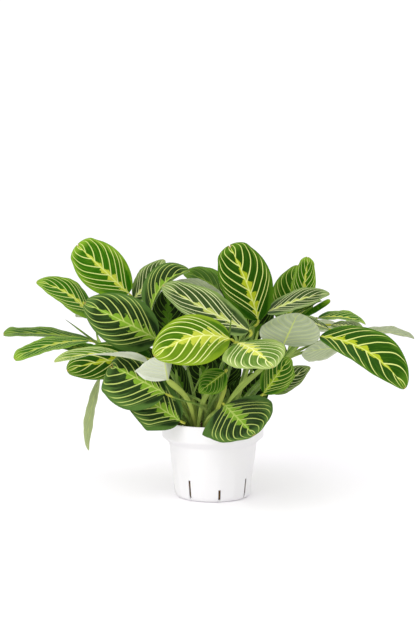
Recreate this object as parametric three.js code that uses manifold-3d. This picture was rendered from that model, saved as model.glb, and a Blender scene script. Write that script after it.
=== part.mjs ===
// A potted prayer plant: a slotted nursery pot, its soil, and shoots that carry patterned leaves.
// Millimetres, +Z up, the plant's front towards -Y. The origin is the centre of the pot's underside.
import * as THREE from 'three';
import { mergeVertices } from 'three/addons/utils/BufferGeometryUtils.js';
import Module from 'manifold-3d';

const wasm = await Module();
wasm.setup();

// Pot: outer radii and heights of the tapered wall and of the deep rim band.
const POT_HEIGHT = 96;
const RIM_RADIUS = 63.5;
const RIM_BOTTOM = 75;
const RIM_EDGE = 0.8;
const WALL_TOP = 67;
const WALL_TOP_RADIUS = 54.6;
const WALL_FOOT = 8;
const WALL_FOOT_RADIUS = 48.3;
const FOOT_RADIUS = 43.5;
const FOOT_CURVE = [[FOOT_RADIUS + 2.3, 1.1], [WALL_FOOT_RADIUS - 0.9, 3.6]];
const POT_WALL = 1.2;
const POT_FLOOR = 2.4;
// The inner wall's bends lie this much higher than the outer ones, which keeps the wall's thickness even.
const BEND_RISE = 0.9;

// The wall's soft flats, and the drainage slots that sit on every second corner between them.
const FLATS = 16;
const FLAT_START_DEG = 9.6;
const SEGMENTS_PER_FLAT = 3;
const SLOT_COUNT = 8;
const SLOT_WIDTH = 2.4;
const SHORT_SLOT = [1, 16];
const LONG_SLOT = [2, 26.5];

// Soil, kept clear of the pot by SOIL_GAP: a little over each of the wall's bends, and rounded at its top.
const SOIL_TOP = 84;
const SOIL_CROWN = 1.2;
const SOIL_SHOULDER = [3, 2];
const SOIL_GAP = 0.4;
const SOIL_FOOT_GAP = 1.5;
const SOIL_RIM_GAP = 2;

// Blades and stalks.
const BLADE_THICKNESS = 1;
const BLADE_END_WIDTH = 1.2;
const BLADE_STEPS = 8;
const BLADE_GAP = 0.35;
const RIPPLE = 1.2;
const RIPPLE_WAVES = 2;
const STEM_RADIUS = 2.6;
const STEM_SIDES = 6;
const STEM_STEPS = 8;
const STALK_RADIUS = 1.3;
const STALK_SIDES = 5;
const STALK_STEPS = 5;
const STALK_REACH = 0.4;
const JOINED_DEPTH = 0.03;

// Each shoot's main stem runs through these points, from just over the soil up to its joint.
const SHOOTS = {
  far_left: [[-26, -6, 87.5], [-60, -14, 122], [-106, -14, 168], [-140, -12, 191]],
  front_left: [[-24, -22, 87.5], [-44, -32, 108], [-58, -42, 134], [-62, -50, 160]],
  upper_left: [[-18, 12, 87.5], [-40, 22, 130], [-70, 26, 180], [-92, 26, 226]],
  front_middle: [[-8, -20, 87.5], [-5, -34, 116], [4, -46, 150], [19, -60, 190]],
  crown: [[2, 6, 87.5], [12, 16, 130], [26, 18, 170], [40, 10, 202]],
  front_right: [[8, -24, 87.5], [24, -38, 108], [48, -42, 140], [88, -38, 176]],
  far_right: [[20, 2, 87.5], [48, 2, 124], [84, 6, 166], [112, 4, 200]],
  back_left: [[-14, 26, 87.5], [-30, 52, 116], [-44, 76, 150], [-50, 86, 178]],
  back_right: [[12, 24, 87.5], [30, 50, 116], [52, 74, 150], [58, 84, 178]],
};

// A blade runs from `base` to `tip` and is twice `half` wide; `face` is the way its upper side looks.
// `at` is where its stalk leaves the shoot, from 0 at the soil to 1 at the joint.
// In `shape`, `arch` lifts the midrib off the straight line and `sweep` bends it sideways, both in mm;
// `fold` raises the two halves and `twist` turns the blade along its length, both in degrees;
// `taper` under 1 puts the widest place nearer the base, and a small `blunt` squares the ends;
// `halves` scales the width of each half.
function leaf(name, shoot, at, base, tip, half, face, colour, shape = {}) {
  const plain = { arch: 0, sweep: 0, fold: [8, 8], twist: 0, taper: 1, blunt: 0.52, halves: [1, 1] };
  return { name, shoot, at, base, tip, half, face, colour, ...plain, ...shape };
}

const LEAVES = [
  // The left side, from the top down.
  leaf('leaf_top_left', 'upper_left', 1, [-105, 20, 251], [-167, 0, 313], 28, [0, -1, 0.1], 'lime',
    { arch: 4, fold: [4, 4], taper: 1.15, blunt: 0.45 }),
  leaf('leaf_high_left', 'far_left', 0.9, [-153, 25, 224], [-215, 5, 267], 23, [0.1, -0.62, 0.78], 'lime',
    { arch: 9, fold: [4, 4], taper: 0.85 }),
  leaf('leaf_reach_left', 'far_left', 0.95, [-153, 16, 193], [-256, 0, 203.5], 19, [0, -0.22, 0.97], 'mid',
    { arch: 3, fold: [6, 6], taper: 1.3 }),
  leaf('leaf_low_left', 'far_left', 1, [-153, -10, 195], [-238, -44, 179], 19, [0, -0.3, 0.95], 'mid',
    { arch: 6, fold: [4, 4], taper: 1.4 }),
  leaf('leaf_small_left', 'far_left', 0.85, [-144, 0, 185], [-188, -8, 187], 11, [0, -0.4, 0.92], 'mid'),
  leaf('leaf_big_left', 'front_left', 1, [-68, -55, 203], [-149, -85, 248], 31, [0, -1, 0.25], 'dark',
    { arch: 8, fold: [-4, -4], taper: 0.9, blunt: 0.45 }),
  leaf('leaf_pale_left', 'front_left', 0.95, [-79, -87, 179], [-184, -100, 183], 15, [0, 0, 1], 'pale',
    { arch: 8, fold: [12, 22], twist: -70, taper: 0.8 }),
  leaf('leaf_shade_left', 'front_left', 0.8, [-76, -50, 178], [-172, -64, 167], 25, [0, -0.8, 0.6], 'dark',
    { sweep: 5, fold: [0, 0], blunt: 0.42 }),
  leaf('leaf_front_left', 'front_middle', 0.12, [-57, -78, 140], [-123, -83, 176], 33, [0, -1, 0.25], 'dark',
    { arch: 5, fold: [0, -25], halves: [1.08, 0.85] }),
  leaf('leaf_rim_left', 'front_left', 0.1, [-40, -60, 104], [-104, -75, 149], 28, [0, -0.85, 0.5], 'dark',
    { blunt: 0.45, halves: [1.1, 1] }),
  leaf('leaf_hanging', 'far_left', 0.7, [-137, -55, 155], [-152, -60, 71], 18, [-0.97, 0.24, 0], 'pale',
    { arch: 4, fold: [0, 0] }),
  leaf('leaf_turned_away', 'front_middle', 0.2, [-54, -82, 157], [-58, -118, 191], 29, [-0.17, 0.77, 0.61],
    'pale', { fold: [65, 0], blunt: 0.35 }),
  // The crown, from left to right.
  leaf('leaf_crown_a', 'upper_left', 0.95, [-99, 30, 244], [-63, 25, 291], 17, [-0.4, -0.9, 0.3], 'dark',
    { arch: 4, sweep: 4, fold: [8, 0] }),
  leaf('leaf_crown_b', 'upper_left', 0.85, [-76, 0, 233], [-32, 0, 280], 22, [-0.25, -0.95, 0.3], 'dark',
    { sweep: -11, fold: [5, 60] }),
  leaf('leaf_crown_c', 'upper_left', 0.5, [-57, 75, 188], [-57, 60, 252], 22, [0, -1, 0.1], 'dark'),
  leaf('leaf_crown_d', 'crown', 0.9, [14, 15, 240], [-48, 5, 266], 15, [0, 0.6, 0.8], 'pale',
    { arch: 5 }),
  leaf('leaf_crown_e', 'crown', 0.75, [24, 66, 229], [-34, 46, 275], 25, [0, -0.6, 0.8], 'mid',
    { arch: 10, fold: [5, 5] }),
  leaf('leaf_crown_f', 'crown', 0.8, [46, 32, 209], [12, 26, 270], 18, [-0.4, -0.8, 0.2], 'dark'),
  leaf('leaf_tall', 'crown', 1, [56, 2, 220], [20, -15, 313], 31, [0, -1, 0.1], 'dark',
    { arch: 4, sweep: 3, taper: 1.15, blunt: 0.45 }),
  leaf('leaf_striped', 'front_middle', 0.95, [43, -55, 213], [-57, -60, 267], 28, [0, -0.68, 0.73], 'dark',
    { arch: 3, sweep: -5, fold: [4, 4], halves: [0.9, 1] }),
  // The front.
  leaf('leaf_bright', 'front_middle', 0.9, [20, -84, 206], [-66, -125, 193], 33, [0, -0.95, 0.35], 'lime',
    { arch: 10, sweep: 9, fold: [-4, -4], blunt: 0.45, halves: [1, 0.82] }),
  leaf('leaf_facing_up', 'front_middle', 0.7, [30, -88, 202], [66, -165, 186], 37, [-0.1, -0.4, 0.9], 'lime',
    { arch: 4, fold: [-5, -5] }),
  leaf('leaf_young', 'front_middle', 0.7, [14, -68, 164], [-14, -80, 144], 15, [0.2, -0.85, 0.5], 'mid',
    { fold: [0, 0] }),
  leaf('leaf_over_rim', 'front_right', 0.1, [14, -72, 125], [45, -150, 105], 37, [-0.4, -0.47, 0.79], 'dark',
    { fold: [-8, -3], taper: 0.85, blunt: 0.45, halves: [1.18, 1] }),
  leaf('leaf_inner_left', 'back_left', 0.1, [-4, 44, 112], [-16, 52, 165], 27, [0, -1, 0.2], 'dark'),
  leaf('leaf_inner_right', 'back_right', 0.1, [34, 30, 106], [62, 18, 148], 22, [0, -1, 0.2], 'dark'),
  // The right side, from the top down.
  leaf('leaf_back_crown', 'far_right', 0.7, [96, 60, 207], [107, 50, 281], 27, [0, -1, 0.1], 'mid',
    { arch: 4 }),
  leaf('leaf_top_right', 'far_right', 0.85, [110, 35, 231], [119, 20, 296], 16, [0.3, -0.9, 0.1], 'lime',
    { fold: [0, 55] }),
  leaf('leaf_grey', 'crown', 0.85, [67, 5, 229], [140, -10, 254], 20, [0, -0.5, 0.86], 'dark',
    { arch: 3, fold: [4, 4] }),
  leaf('leaf_small_right', 'far_right', 0.8, [95, 14, 222], [131, 4, 243], 11, [0, -0.3, 0.95], 'lime'),
  leaf('leaf_underside', 'front_right', 0.9, [85, -45, 195], [99, -105, 239], 35, [0.1, 0.45, 0.88], 'pale',
    { fold: [-8, -8], taper: 0.9, blunt: 0.45 }),
  leaf('leaf_behind', 'front_right', 1, [140, -37, 213], [104, -51, 228], 10, [0, -0.5, 0.87], 'pale'),
  leaf('leaf_edge_on', 'far_right', 0.95, [146, -13, 215], [178, -38, 216.5], 11, [0, -0.4, 0.9], 'mid'),
  leaf('leaf_upper_right', 'far_right', 1, [131, 12, 221], [187, 4, 216.5], 18, [0, -0.22, 0.97], 'mid',
    { arch: 4 }),
  leaf('leaf_drooping', 'front_right', 1, [129, -58, 206], [223, -112, 154], 27, [0.35, -0.75, 0.55], 'dark',
    { arch: 14, sweep: -5, taper: 1.1, halves: [1.2, 1] }),
  leaf('leaf_far_right', 'far_right', 1, [189, 15, 206], [250, 25, 196], 14, [0, 0.4, 0.92], 'pale',
    { arch: 2 }),
  leaf('leaf_under_right', 'front_right', 0.95, [160, -8, 188], [109, -50, 187], 20, [0, 0.9, 0.6], 'pale',
    { fold: [-4, -4] }),
  leaf('leaf_low_right', 'front_right', 0.45, [61, -58, 137], [89, -78, 180], 20, [-0.45, -0.8, 0.4], 'mid',
    { fold: [5, -50] }),
  leaf('leaf_shade_right', 'far_right', 0.25, [72, -15, 133], [116, -25, 163], 14, [0, -0.75, 0.6], 'dark',
    { taper: 0.9 }),
  // The back.
  leaf('leaf_back_a', 'back_left', 0.9, [-104, 70, 192], [-176, 112, 214], 28, [-0.1, 0.5, 0.85], 'mid',
    { arch: 8 }),
  leaf('leaf_back_b', 'back_left', 1, [-62, 104, 176], [-104, 168, 160], 30, [-0.2, 0.6, 0.8], 'dark',
    { arch: 10 }),
  leaf('leaf_back_c', 'back_left', 0.95, [-14, 92, 206], [-30, 172, 204], 30, [0, 0.6, 0.8], 'lime',
    { arch: 8 }),
  leaf('leaf_back_d', 'back_right', 0.9, [46, 104, 172], [76, 166, 146], 28, [0.2, 0.6, 0.8], 'dark',
    { arch: 9 }),
  leaf('leaf_back_e', 'back_right', 0.9, [96, 84, 186], [166, 124, 192], 28, [0.2, 0.5, 0.85], 'mid',
    { arch: 8 }),
  leaf('leaf_back_f', 'back_right', 0.6, [-4, 84, 150], [-26, 144, 122], 27, [-0.1, 0.7, 0.7], 'dark',
    { arch: 8 }),
  leaf('leaf_back_g', 'back_left', 0.6, [-78, 60, 146], [-128, 96, 132], 24, [-0.2, 0.6, 0.8], 'dark',
    { arch: 7 }),
];

// The inner and rear leaves are grown together with their shoots: they are part of the shoots' solids.
const JOINED_LEAVES = [
  leaf('inner_a', 'back_left', 0.15, [-42, 57, 108], [-92, 58, 178], 19, [0, -1, 0.2], 'dark'),
  leaf('inner_b', 'back_right', 0.2, [10, 57, 122], [14, 61, 174], 24, [0, -1, 0.2], 'dark'),
  leaf('inner_c', 'back_right', 0.4, [62, 36, 140], [84, 40, 188], 23, [0, -1, 0.2], 'dark'),
  leaf('inner_h', 'back_left', 0.05, [-10, 62, 99], [-16, 67, 138], 23, [0, -1, 0.2], 'dark'),
  leaf('inner_i', 'back_right', 0.05, [26, 46, 99], [32, 50, 134], 20, [0, -1, 0.2], 'dark'),
  leaf('inner_g', 'crown', 0.6, [28, 34, 158], [36, 34, 206], 22, [0, -1, 0.2], 'dark'),
  leaf('inner_d', 'back_left', 0.9, [-26, 78, 196], [-32, 86, 252], 26, [0, -1, 0.2], 'dark'),
  leaf('inner_e', 'upper_left', 0.75, [-96, 56, 190], [-112, 66, 242], 25, [0, -1, 0.2], 'dark'),
  leaf('inner_f', 'back_right', 0.95, [56, 76, 186], [48, 84, 252], 26, [0, -1, 0.2], 'dark'),
  leaf('rear_a', 'back_left', 0.1, [-14, 70, 108], [-34, 126, 96], 25, [0, 0.5, 0.85], 'dark',
    { arch: 6 }),
  leaf('rear_b', 'back_right', 0.1, [22, 68, 110], [42, 124, 98], 24, [0, 0.5, 0.85], 'dark',
    { arch: 6 }),
  leaf('rear_c', 'back_left', 1, [-66, 92, 212], [-98, 140, 240], 28, [-0.1, 0.6, 0.8], 'dark',
    { arch: 6 }),
  leaf('rear_d', 'back_right', 1, [70, 100, 208], [92, 152, 236], 28, [0.1, 0.6, 0.8], 'dark',
    { arch: 6 }),
  leaf('rear_e', 'crown', 0.7, [4, 84, 232], [4, 136, 266], 27, [0, 0.6, 0.8], 'dark',
    { arch: 6 }),
];

// New leaves, still rolled into a spear: from the joint of a shoot to a thin tip.
const SPEAR_RADIUS = 3.9;
const SPEAR_SHAPE = [[SPEAR_RADIUS, 0.4], [0.8 * SPEAR_RADIUS, 0.8]];
const SPEAR_SIDES = 10;
const SPEAR = { shoot: 'far_right', at: 0.9, base: [115, 24, 222], tip: [146, 16, 243] };
const THIN_SPEARS = {
  far_left: { at: 0.9, tip: [-180, -25, 223] },
  front_middle: { at: 0.8, tip: [22.5, -106, 240] },
};
const THIN_SPEAR_RADIUS = 1.1;

const COLOURS = { lime: 0x8db32c, mid: 0x5d9338, dark: 0x2f5a2c, pale: 0xb9c9a4 };
const STEM_COLOUR = 0x7d9a4c;
const POT_COLOUR = 0xf4f4f2;
const SOIL_COLOUR = 0x3a2a1e;
const PLANT_ROUGHNESS = 0.45;
const SOIL_ROUGHNESS = 0.95;

// Corners closer together than this are one corner.
const MERGE_DISTANCE = 1e-3;

const vector = (point) => new THREE.Vector3(...point);

// A closed solid from any closed geometry: shared corners merged, collapsed triangles dropped.
function solid(geometry) {
  const bare = geometry.clone();
  bare.deleteAttribute('normal');
  bare.deleteAttribute('uv');
  const merged = mergeVertices(bare, MERGE_DISTANCE);
  const corners = merged.index.array;
  const kept = [];
  for (let k = 0; k < corners.length; k += 3) {
    const [a, b, c] = corners.slice(k, k + 3);
    if (a !== b && b !== c && c !== a) kept.push(a, b, c);
  }
  const vertProperties = merged.attributes.position.array;
  return new wasm.Manifold(new wasm.Mesh({ numProp: 3, vertProperties, triVerts: Uint32Array.from(kept) }));
}

function geometryOf(manifold) {
  const { vertProperties, triVerts } = manifold.getMesh();
  const geometry = new THREE.BufferGeometry();
  geometry.setAttribute('position', new THREE.BufferAttribute(vertProperties, 3));
  geometry.setIndex(new THREE.BufferAttribute(triVerts, 1));
  geometry.computeVertexNormals();
  return geometry;
}

function mesh(name, geometry, color, roughness) {
  const piece = new THREE.Mesh(geometry, new THREE.MeshStandardMaterial({ color, roughness, metalness: 0 }));
  piece.name = name;
  return piece;
}

// A profile of [radius, height] pairs turned about +Z, with the first corner at the flats' first corner.
function turned(profile, segments) {
  const points = profile.map(([radius, height]) => new THREE.Vector2(radius, height));
  const geometry = new THREE.LatheGeometry(points, segments);
  geometry.rotateX(Math.PI / 2);
  geometry.rotateZ(THREE.MathUtils.degToRad(FLAT_START_DEG));
  return geometry;
}

// Draws the wall in to straight chords between the flats' corners, fading out at the foot and the rim.
function flatten(geometry) {
  const position = geometry.attributes.position;
  const halfFlat = Math.PI / FLATS;
  const firstCorner = THREE.MathUtils.degToRad(FLAT_START_DEG) - Math.PI / 2;
  for (let k = 0; k < position.count; k += 1) {
    const [x, y, z] = [position.getX(k), position.getY(k), position.getZ(k)];
    const past = THREE.MathUtils.euclideanModulo(Math.atan2(y, x) - firstCorner, 2 * halfFlat);
    const chord = Math.cos(halfFlat) / Math.cos(past - halfFlat);
    const onWall = z > WALL_FOOT - 1 && z < WALL_TOP + 1;
    const scale = onWall ? chord : 1;
    position.setXY(k, x * scale, y * scale);
  }
  return geometry;
}

function potGeometry() {
  const inside = (radius) => radius - POT_WALL;
  const profile = [
    [0, 0], [FOOT_RADIUS, 0], ...FOOT_CURVE, [WALL_FOOT_RADIUS, WALL_FOOT],
    [WALL_TOP_RADIUS, WALL_TOP], [RIM_RADIUS, RIM_BOTTOM],
    [RIM_RADIUS, POT_HEIGHT - RIM_EDGE], [RIM_RADIUS - RIM_EDGE, POT_HEIGHT],
    [inside(RIM_RADIUS), POT_HEIGHT], [inside(RIM_RADIUS), RIM_BOTTOM + BEND_RISE],
    [inside(WALL_TOP_RADIUS), WALL_TOP + BEND_RISE], [inside(WALL_FOOT_RADIUS), WALL_FOOT],
    [FOOT_RADIUS, POT_FLOOR], [0, POT_FLOOR],
  ];
  let pot = solid(flatten(turned(profile, FLATS * SEGMENTS_PER_FLAT)));
  for (let k = 0; k < SLOT_COUNT; k += 1) {
    const [low, high] = k % 2 === 0 ? SHORT_SLOT : LONG_SLOT;
    const slot = new THREE.BoxGeometry(RIM_RADIUS - FOOT_RADIUS, SLOT_WIDTH, high - low);
    slot.translate((RIM_RADIUS + FOOT_RADIUS) / 2, 0, (low + high) / 2);
    slot.rotateZ(THREE.MathUtils.degToRad(FLAT_START_DEG) - Math.PI / 2 + k * 2 * Math.PI / SLOT_COUNT);
    pot = pot.subtract(solid(slot));
  }
  return geometryOf(pot);
}

function soilGeometry() {
  const within = (radius) => radius - POT_WALL - SOIL_GAP;
  const [shoulderWidth, shoulderDrop] = SOIL_SHOULDER;
  const profile = [
    [0, POT_FLOOR + SOIL_GAP], [FOOT_RADIUS - SOIL_FOOT_GAP, POT_FLOOR + SOIL_GAP],
    [within(WALL_FOOT_RADIUS), WALL_FOOT + SOIL_FOOT_GAP],
    [within(WALL_TOP_RADIUS), WALL_TOP + SOIL_FOOT_GAP],
    [within(RIM_RADIUS), RIM_BOTTOM + SOIL_RIM_GAP], [within(RIM_RADIUS), SOIL_TOP - shoulderDrop],
    [within(RIM_RADIUS) - shoulderWidth, SOIL_TOP], [0, SOIL_TOP + SOIL_CROWN],
  ];
  return geometryOf(solid(turned(profile, FLATS)));
}

// A blade's frame at u, from 0 at its base to 1 at its tip: a point on the midrib and three directions.
function midribAt(blade, u) {
  const base = vector(blade.base);
  const chord = vector(blade.tip).sub(base);
  const along = chord.clone().normalize();
  const up = vector(blade.face);
  up.addScaledVector(along, -up.dot(along)).normalize();
  const aside = along.clone().cross(up);
  const bow = 4 * u * (1 - u);
  const slope = 4 * (1 - 2 * u);
  const point = base.clone().addScaledVector(chord, u);
  point.addScaledVector(up, blade.arch * bow).addScaledVector(aside, blade.sweep * bow);
  const tangent = chord.clone().addScaledVector(up, blade.arch * slope);
  tangent.addScaledVector(aside, blade.sweep * slope).normalize();
  const side = tangent.clone().cross(up).normalize();
  const normal = side.clone().cross(tangent);
  const turn = THREE.MathUtils.degToRad(blade.twist) * (u - 0.5);
  side.applyAxisAngle(tangent, turn);
  normal.applyAxisAngle(tangent, turn);
  return { point, tangent, side, normal };
}

// A point of the blade's middle surface, v from -1 to 1 across it, moved `lift` along its normal.
function bladePoint(blade, u, v, lift) {
  const { point, side, normal } = midribAt(blade, u);
  const half = v < 0 ? 0 : 1;
  const round = Math.sin(Math.PI * u ** blade.taper) ** blade.blunt;
  const width = (BLADE_END_WIDTH + blade.half * round) * blade.halves[half];
  const fold = THREE.MathUtils.degToRad(blade.fold[half]);
  const phase = v > 0 ? 0.25 : 0;
  const ripple = RIPPLE * Math.sin(2 * Math.PI * (RIPPLE_WAVES * u + phase)) * v * v * Math.sin(Math.PI * u);
  point.addScaledVector(side, v * width * Math.cos(fold));
  point.addScaledVector(normal, Math.abs(v) * width * Math.sin(fold) + ripple + lift);
  return point;
}

// A thin shell lofted along the midrib, with its sections closer together at the two ends. A section
// runs over the upper side and back underneath, and both sides are split along the same diagonals.
function bladeGeometry(blade) {
  const across = [-1, 0, 1];
  const over = across.map((v) => [v, BLADE_THICKNESS / 2]);
  const under = across.map((v) => [-v, -BLADE_THICKNESS / 2]);
  const section = [...over, ...under];
  const corners = [];
  const triangles = [];
  for (let k = 0; k <= BLADE_STEPS; k += 1) {
    const u = (1 - Math.cos(Math.PI * k / BLADE_STEPS)) / 2;
    for (const [v, lift] of section) corners.push(...bladePoint(blade, u, v, lift).toArray());
  }
  for (let k = 0; k < BLADE_STEPS; k += 1) {
    for (let j = 0; j < section.length; j += 1) {
      const [here, next] = [section.length * k, section.length * (k + 1)];
      const after = (j + 1) % section.length;
      const [a, b, c, d] = [here + j, here + after, next + after, next + j];
      if (j < over.length) triangles.push(a, b, c, a, c, d);
      else triangles.push(a, b, d, b, c, d);
    }
  }
  const last = section.length * BLADE_STEPS;
  for (const [a, b, c, d] of [[0, 5, 4, 1], [1, 4, 3, 2]]) {
    triangles.push(a, b, c, a, c, d);
    triangles.push(last + a, last + c, last + b, last + a, last + d, last + c);
  }
  const geometry = new THREE.BufferGeometry();
  geometry.setAttribute('position', new THREE.Float32BufferAttribute(corners, 3));
  geometry.setIndex(triangles);
  geometry.computeVertexNormals();
  return geometry;
}

// A round bar along a curve.
function bar(curve, radius, sides, steps) {
  const ring = [];
  for (let k = 0; k < sides; k += 1) {
    const angle = 2 * Math.PI * k / sides;
    ring.push(new THREE.Vector2(radius * Math.cos(angle), radius * Math.sin(angle)));
  }
  const options = { steps, extrudePath: curve, bevelEnabled: false };
  return new THREE.ExtrudeGeometry(new THREE.Shape(ring), options);
}

// The stalk's curve: it leaves the stem along the stem and meets the blade along the midrib.
function stalkCurve(stem, at, end, direction) {
  const start = stem.getPoint(at);
  const reach = STALK_REACH * start.distanceTo(end);
  const leaving = start.clone().addScaledVector(stem.getTangent(at), reach);
  const arriving = end.clone().addScaledVector(direction, -reach);
  return new THREE.CubicBezierCurve3(start, leaving, arriving, end);
}

// The ends of every stalk of a shoot: where it leaves the stem, where it stops and its direction there.
function stalkEnds(shootName) {
  const carried = LEAVES.filter((each) => each.shoot === shootName).map((blade) => {
    const { point, tangent } = midribAt(blade, 0);
    return { at: blade.at, end: point.addScaledVector(tangent, -BLADE_GAP), direction: tangent };
  });
  const joined = JOINED_LEAVES.filter((each) => each.shoot === shootName).map((blade) => (
    { at: blade.at, end: midribAt(blade, JOINED_DEPTH).point, direction: midribAt(blade, 0).tangent }));
  if (SPEAR.shoot === shootName) {
    const direction = vector(SPEAR.tip).sub(vector(SPEAR.base)).normalize();
    const end = vector(SPEAR.base).addScaledVector(direction, -BLADE_GAP);
    joined.push({ at: SPEAR.at, end, direction });
  }
  return [...carried, ...joined];
}

function shootGeometry(shootName) {
  const stem = new THREE.CatmullRomCurve3(SHOOTS[shootName].map(vector));
  let shoot = solid(bar(stem, STEM_RADIUS, STEM_SIDES, STEM_STEPS));
  for (const { at, end, direction } of stalkEnds(shootName)) {
    const curve = stalkCurve(stem, at, end, direction);
    shoot = shoot.add(solid(bar(curve, STALK_RADIUS, STALK_SIDES, STALK_STEPS)));
  }
  for (const blade of JOINED_LEAVES.filter((each) => each.shoot === shootName)) {
    shoot = shoot.add(solid(bladeGeometry(blade)));
  }
  if (THIN_SPEARS[shootName]) {
    const { at, tip } = THIN_SPEARS[shootName];
    const direction = vector(tip).sub(stem.getPoint(at)).normalize();
    const curve = stalkCurve(stem, at, vector(tip), direction);
    shoot = shoot.add(solid(bar(curve, THIN_SPEAR_RADIUS, STALK_SIDES, STALK_STEPS)));
  }
  return geometryOf(shoot);
}

// A rolled leaf: a spindle turned about its own axis and laid from the spear's base to its tip.
function spearGeometry() {
  const axis = vector(SPEAR.tip).sub(vector(SPEAR.base));
  const length = axis.length();
  const shape = [[0, 0], [STALK_RADIUS, 0], ...SPEAR_SHAPE, [0, 1]];
  const points = shape.map(([radius, part]) => new THREE.Vector2(radius, part * length));
  const geometry = new THREE.LatheGeometry(points, SPEAR_SIDES);
  const turn = new THREE.Quaternion().setFromUnitVectors(new THREE.Vector3(0, 1, 0), axis.normalize());
  geometry.applyQuaternion(turn);
  geometry.translate(...SPEAR.base);
  return geometryOf(solid(geometry));
}

const plant = new THREE.Group();
plant.add(mesh('pot', potGeometry(), POT_COLOUR, PLANT_ROUGHNESS));
plant.add(mesh('soil', soilGeometry(), SOIL_COLOUR, SOIL_ROUGHNESS));
for (const shootName of Object.keys(SHOOTS)) {
  plant.add(mesh(`shoot_${shootName}`, shootGeometry(shootName), STEM_COLOUR, PLANT_ROUGHNESS));
}
for (const blade of LEAVES) {
  plant.add(mesh(blade.name, bladeGeometry(blade), COLOURS[blade.colour], PLANT_ROUGHNESS));
}
plant.add(mesh('spear_right', spearGeometry(), COLOURS.mid, PLANT_ROUGHNESS));

export default plant;
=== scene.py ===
"""A potted prayer plant: a white slotted nursery pot, its soil, and arching shoots of patterned leaves.

Sizes are in metres, +Z is up and the plant's front is towards -Y. Written for Blender 4.5.
"""
import math
from functools import partial

import bmesh
import bpy
import numpy as np
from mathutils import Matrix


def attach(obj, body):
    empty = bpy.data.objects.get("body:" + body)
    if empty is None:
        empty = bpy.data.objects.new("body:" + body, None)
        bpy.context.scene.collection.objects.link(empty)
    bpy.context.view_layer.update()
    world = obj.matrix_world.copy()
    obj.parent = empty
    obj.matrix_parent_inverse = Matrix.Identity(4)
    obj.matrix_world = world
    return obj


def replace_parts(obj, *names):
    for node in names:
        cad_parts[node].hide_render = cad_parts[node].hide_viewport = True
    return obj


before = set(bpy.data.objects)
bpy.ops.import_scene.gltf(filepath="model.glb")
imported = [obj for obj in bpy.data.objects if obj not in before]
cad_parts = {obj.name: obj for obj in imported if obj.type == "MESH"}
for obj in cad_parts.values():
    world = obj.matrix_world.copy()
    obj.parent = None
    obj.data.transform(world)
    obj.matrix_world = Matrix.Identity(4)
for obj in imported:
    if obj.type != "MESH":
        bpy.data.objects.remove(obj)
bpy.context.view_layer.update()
MM = 0.001


# ---- Camera and studio ----------------------------------------------------------------------------
# The camera stands 1.9 m in front of the plant at the height of its top leaves, tipped a little down.
# The room is a white floor in even white light, with one large soft lamp over the left shoulder.

CAMERA_PLACE = (-0.006, -1.900, 0.421)
CAMERA_TILT = 5.75
LENS = 89.13

scene = bpy.context.scene
camera = bpy.data.objects.new("camera", bpy.data.cameras.new("camera"))
camera.data.lens = LENS
camera.location = CAMERA_PLACE
camera.rotation_euler = (math.radians(90 - CAMERA_TILT), 0, 0)
scene.collection.objects.link(camera)
scene.camera = camera

ROOM_LIGHT = 1.1
LAMP_PLACE = (-0.8, -1.7, 1.6)
LAMP_AIM = (0, 0, 0.18)
LAMP_SIZE = 1.7
LAMP_POWER = 22
FLOOR_SIZE = 60

world = bpy.data.worlds.new("white room")
world.use_nodes = True
world.node_tree.nodes["Background"].inputs["Color"].default_value = (1, 1, 1, 1)
world.node_tree.nodes["Background"].inputs["Strength"].default_value = ROOM_LIGHT
scene.world = world
scene.view_settings.view_transform = "Standard"

lamp = bpy.data.objects.new("key lamp", bpy.data.lights.new("key lamp", "AREA"))
lamp.data.shape = "SQUARE"
lamp.data.size = LAMP_SIZE
lamp.data.energy = LAMP_POWER
lamp.location = LAMP_PLACE
aim = np.array(LAMP_AIM) - np.array(LAMP_PLACE)
lamp.rotation_euler = (
    math.atan2(math.hypot(aim[0], aim[1]), -aim[2]), 0, math.pi + math.atan2(aim[0], -aim[1])
)
scene.collection.objects.link(lamp)


def add_node(tree, kind, sockets=None, **settings):
    """Adds a shader node. `sockets` gives each input a number, a colour or the output that feeds it."""
    made = tree.nodes.new(kind)
    for name, value in settings.items():
        setattr(made, name, value)
    for key, value in (sockets or {}).items():
        if isinstance(value, bpy.types.NodeSocket):
            tree.links.new(value, made.inputs[key])
        else:
            made.inputs[key].default_value = value
    return made


def maths(tree, operation, *values):
    """One Math node: an operation on numbers or outputs."""
    return add_node(tree, "ShaderNodeMath", dict(enumerate(values)), operation=operation).outputs[0]


def ease(tree, value, low, high, start=0.0, end=1.0):
    """Turns a value smoothly from `start` at `low` into `end` at `high`, and holds it beyond them."""
    sockets = {0: value, 1: low, 2: high, 3: start, 4: end}
    return add_node(tree, "ShaderNodeMapRange", sockets, interpolation_type="SMOOTHSTEP").outputs[0]


def blend_colour(tree, amount, first, second):
    """Mixes two colours: the first where `amount` is 0, the second where it is 1."""
    sockets = {0: amount, 6: first, 7: second}
    return add_node(tree, "ShaderNodeMix", sockets, data_type="RGBA").outputs[2]


def layered(tree, ground, *layers):
    """Lays colours over a ground, one after another. Each layer is an amount, its share and a colour."""
    for amount, share, colour in layers:
        ground = blend_colour(tree, maths(tree, "MULTIPLY", amount, share), ground, colour)
    return ground


def noise(tree, place, scale, detail=2.0, roughness=0.5):
    """An even cloudy value around 0.5, with `scale` clouds to a unit of `place`."""
    sockets = {"Vector": place, "Scale": scale, "Detail": detail, "Roughness": roughness}
    return add_node(tree, "ShaderNodeTexNoise", sockets).outputs[0]


def object_place(tree):
    """The point's own place on the part, in metres."""
    return add_node(tree, "ShaderNodeTexCoord").outputs["Object"]


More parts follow.
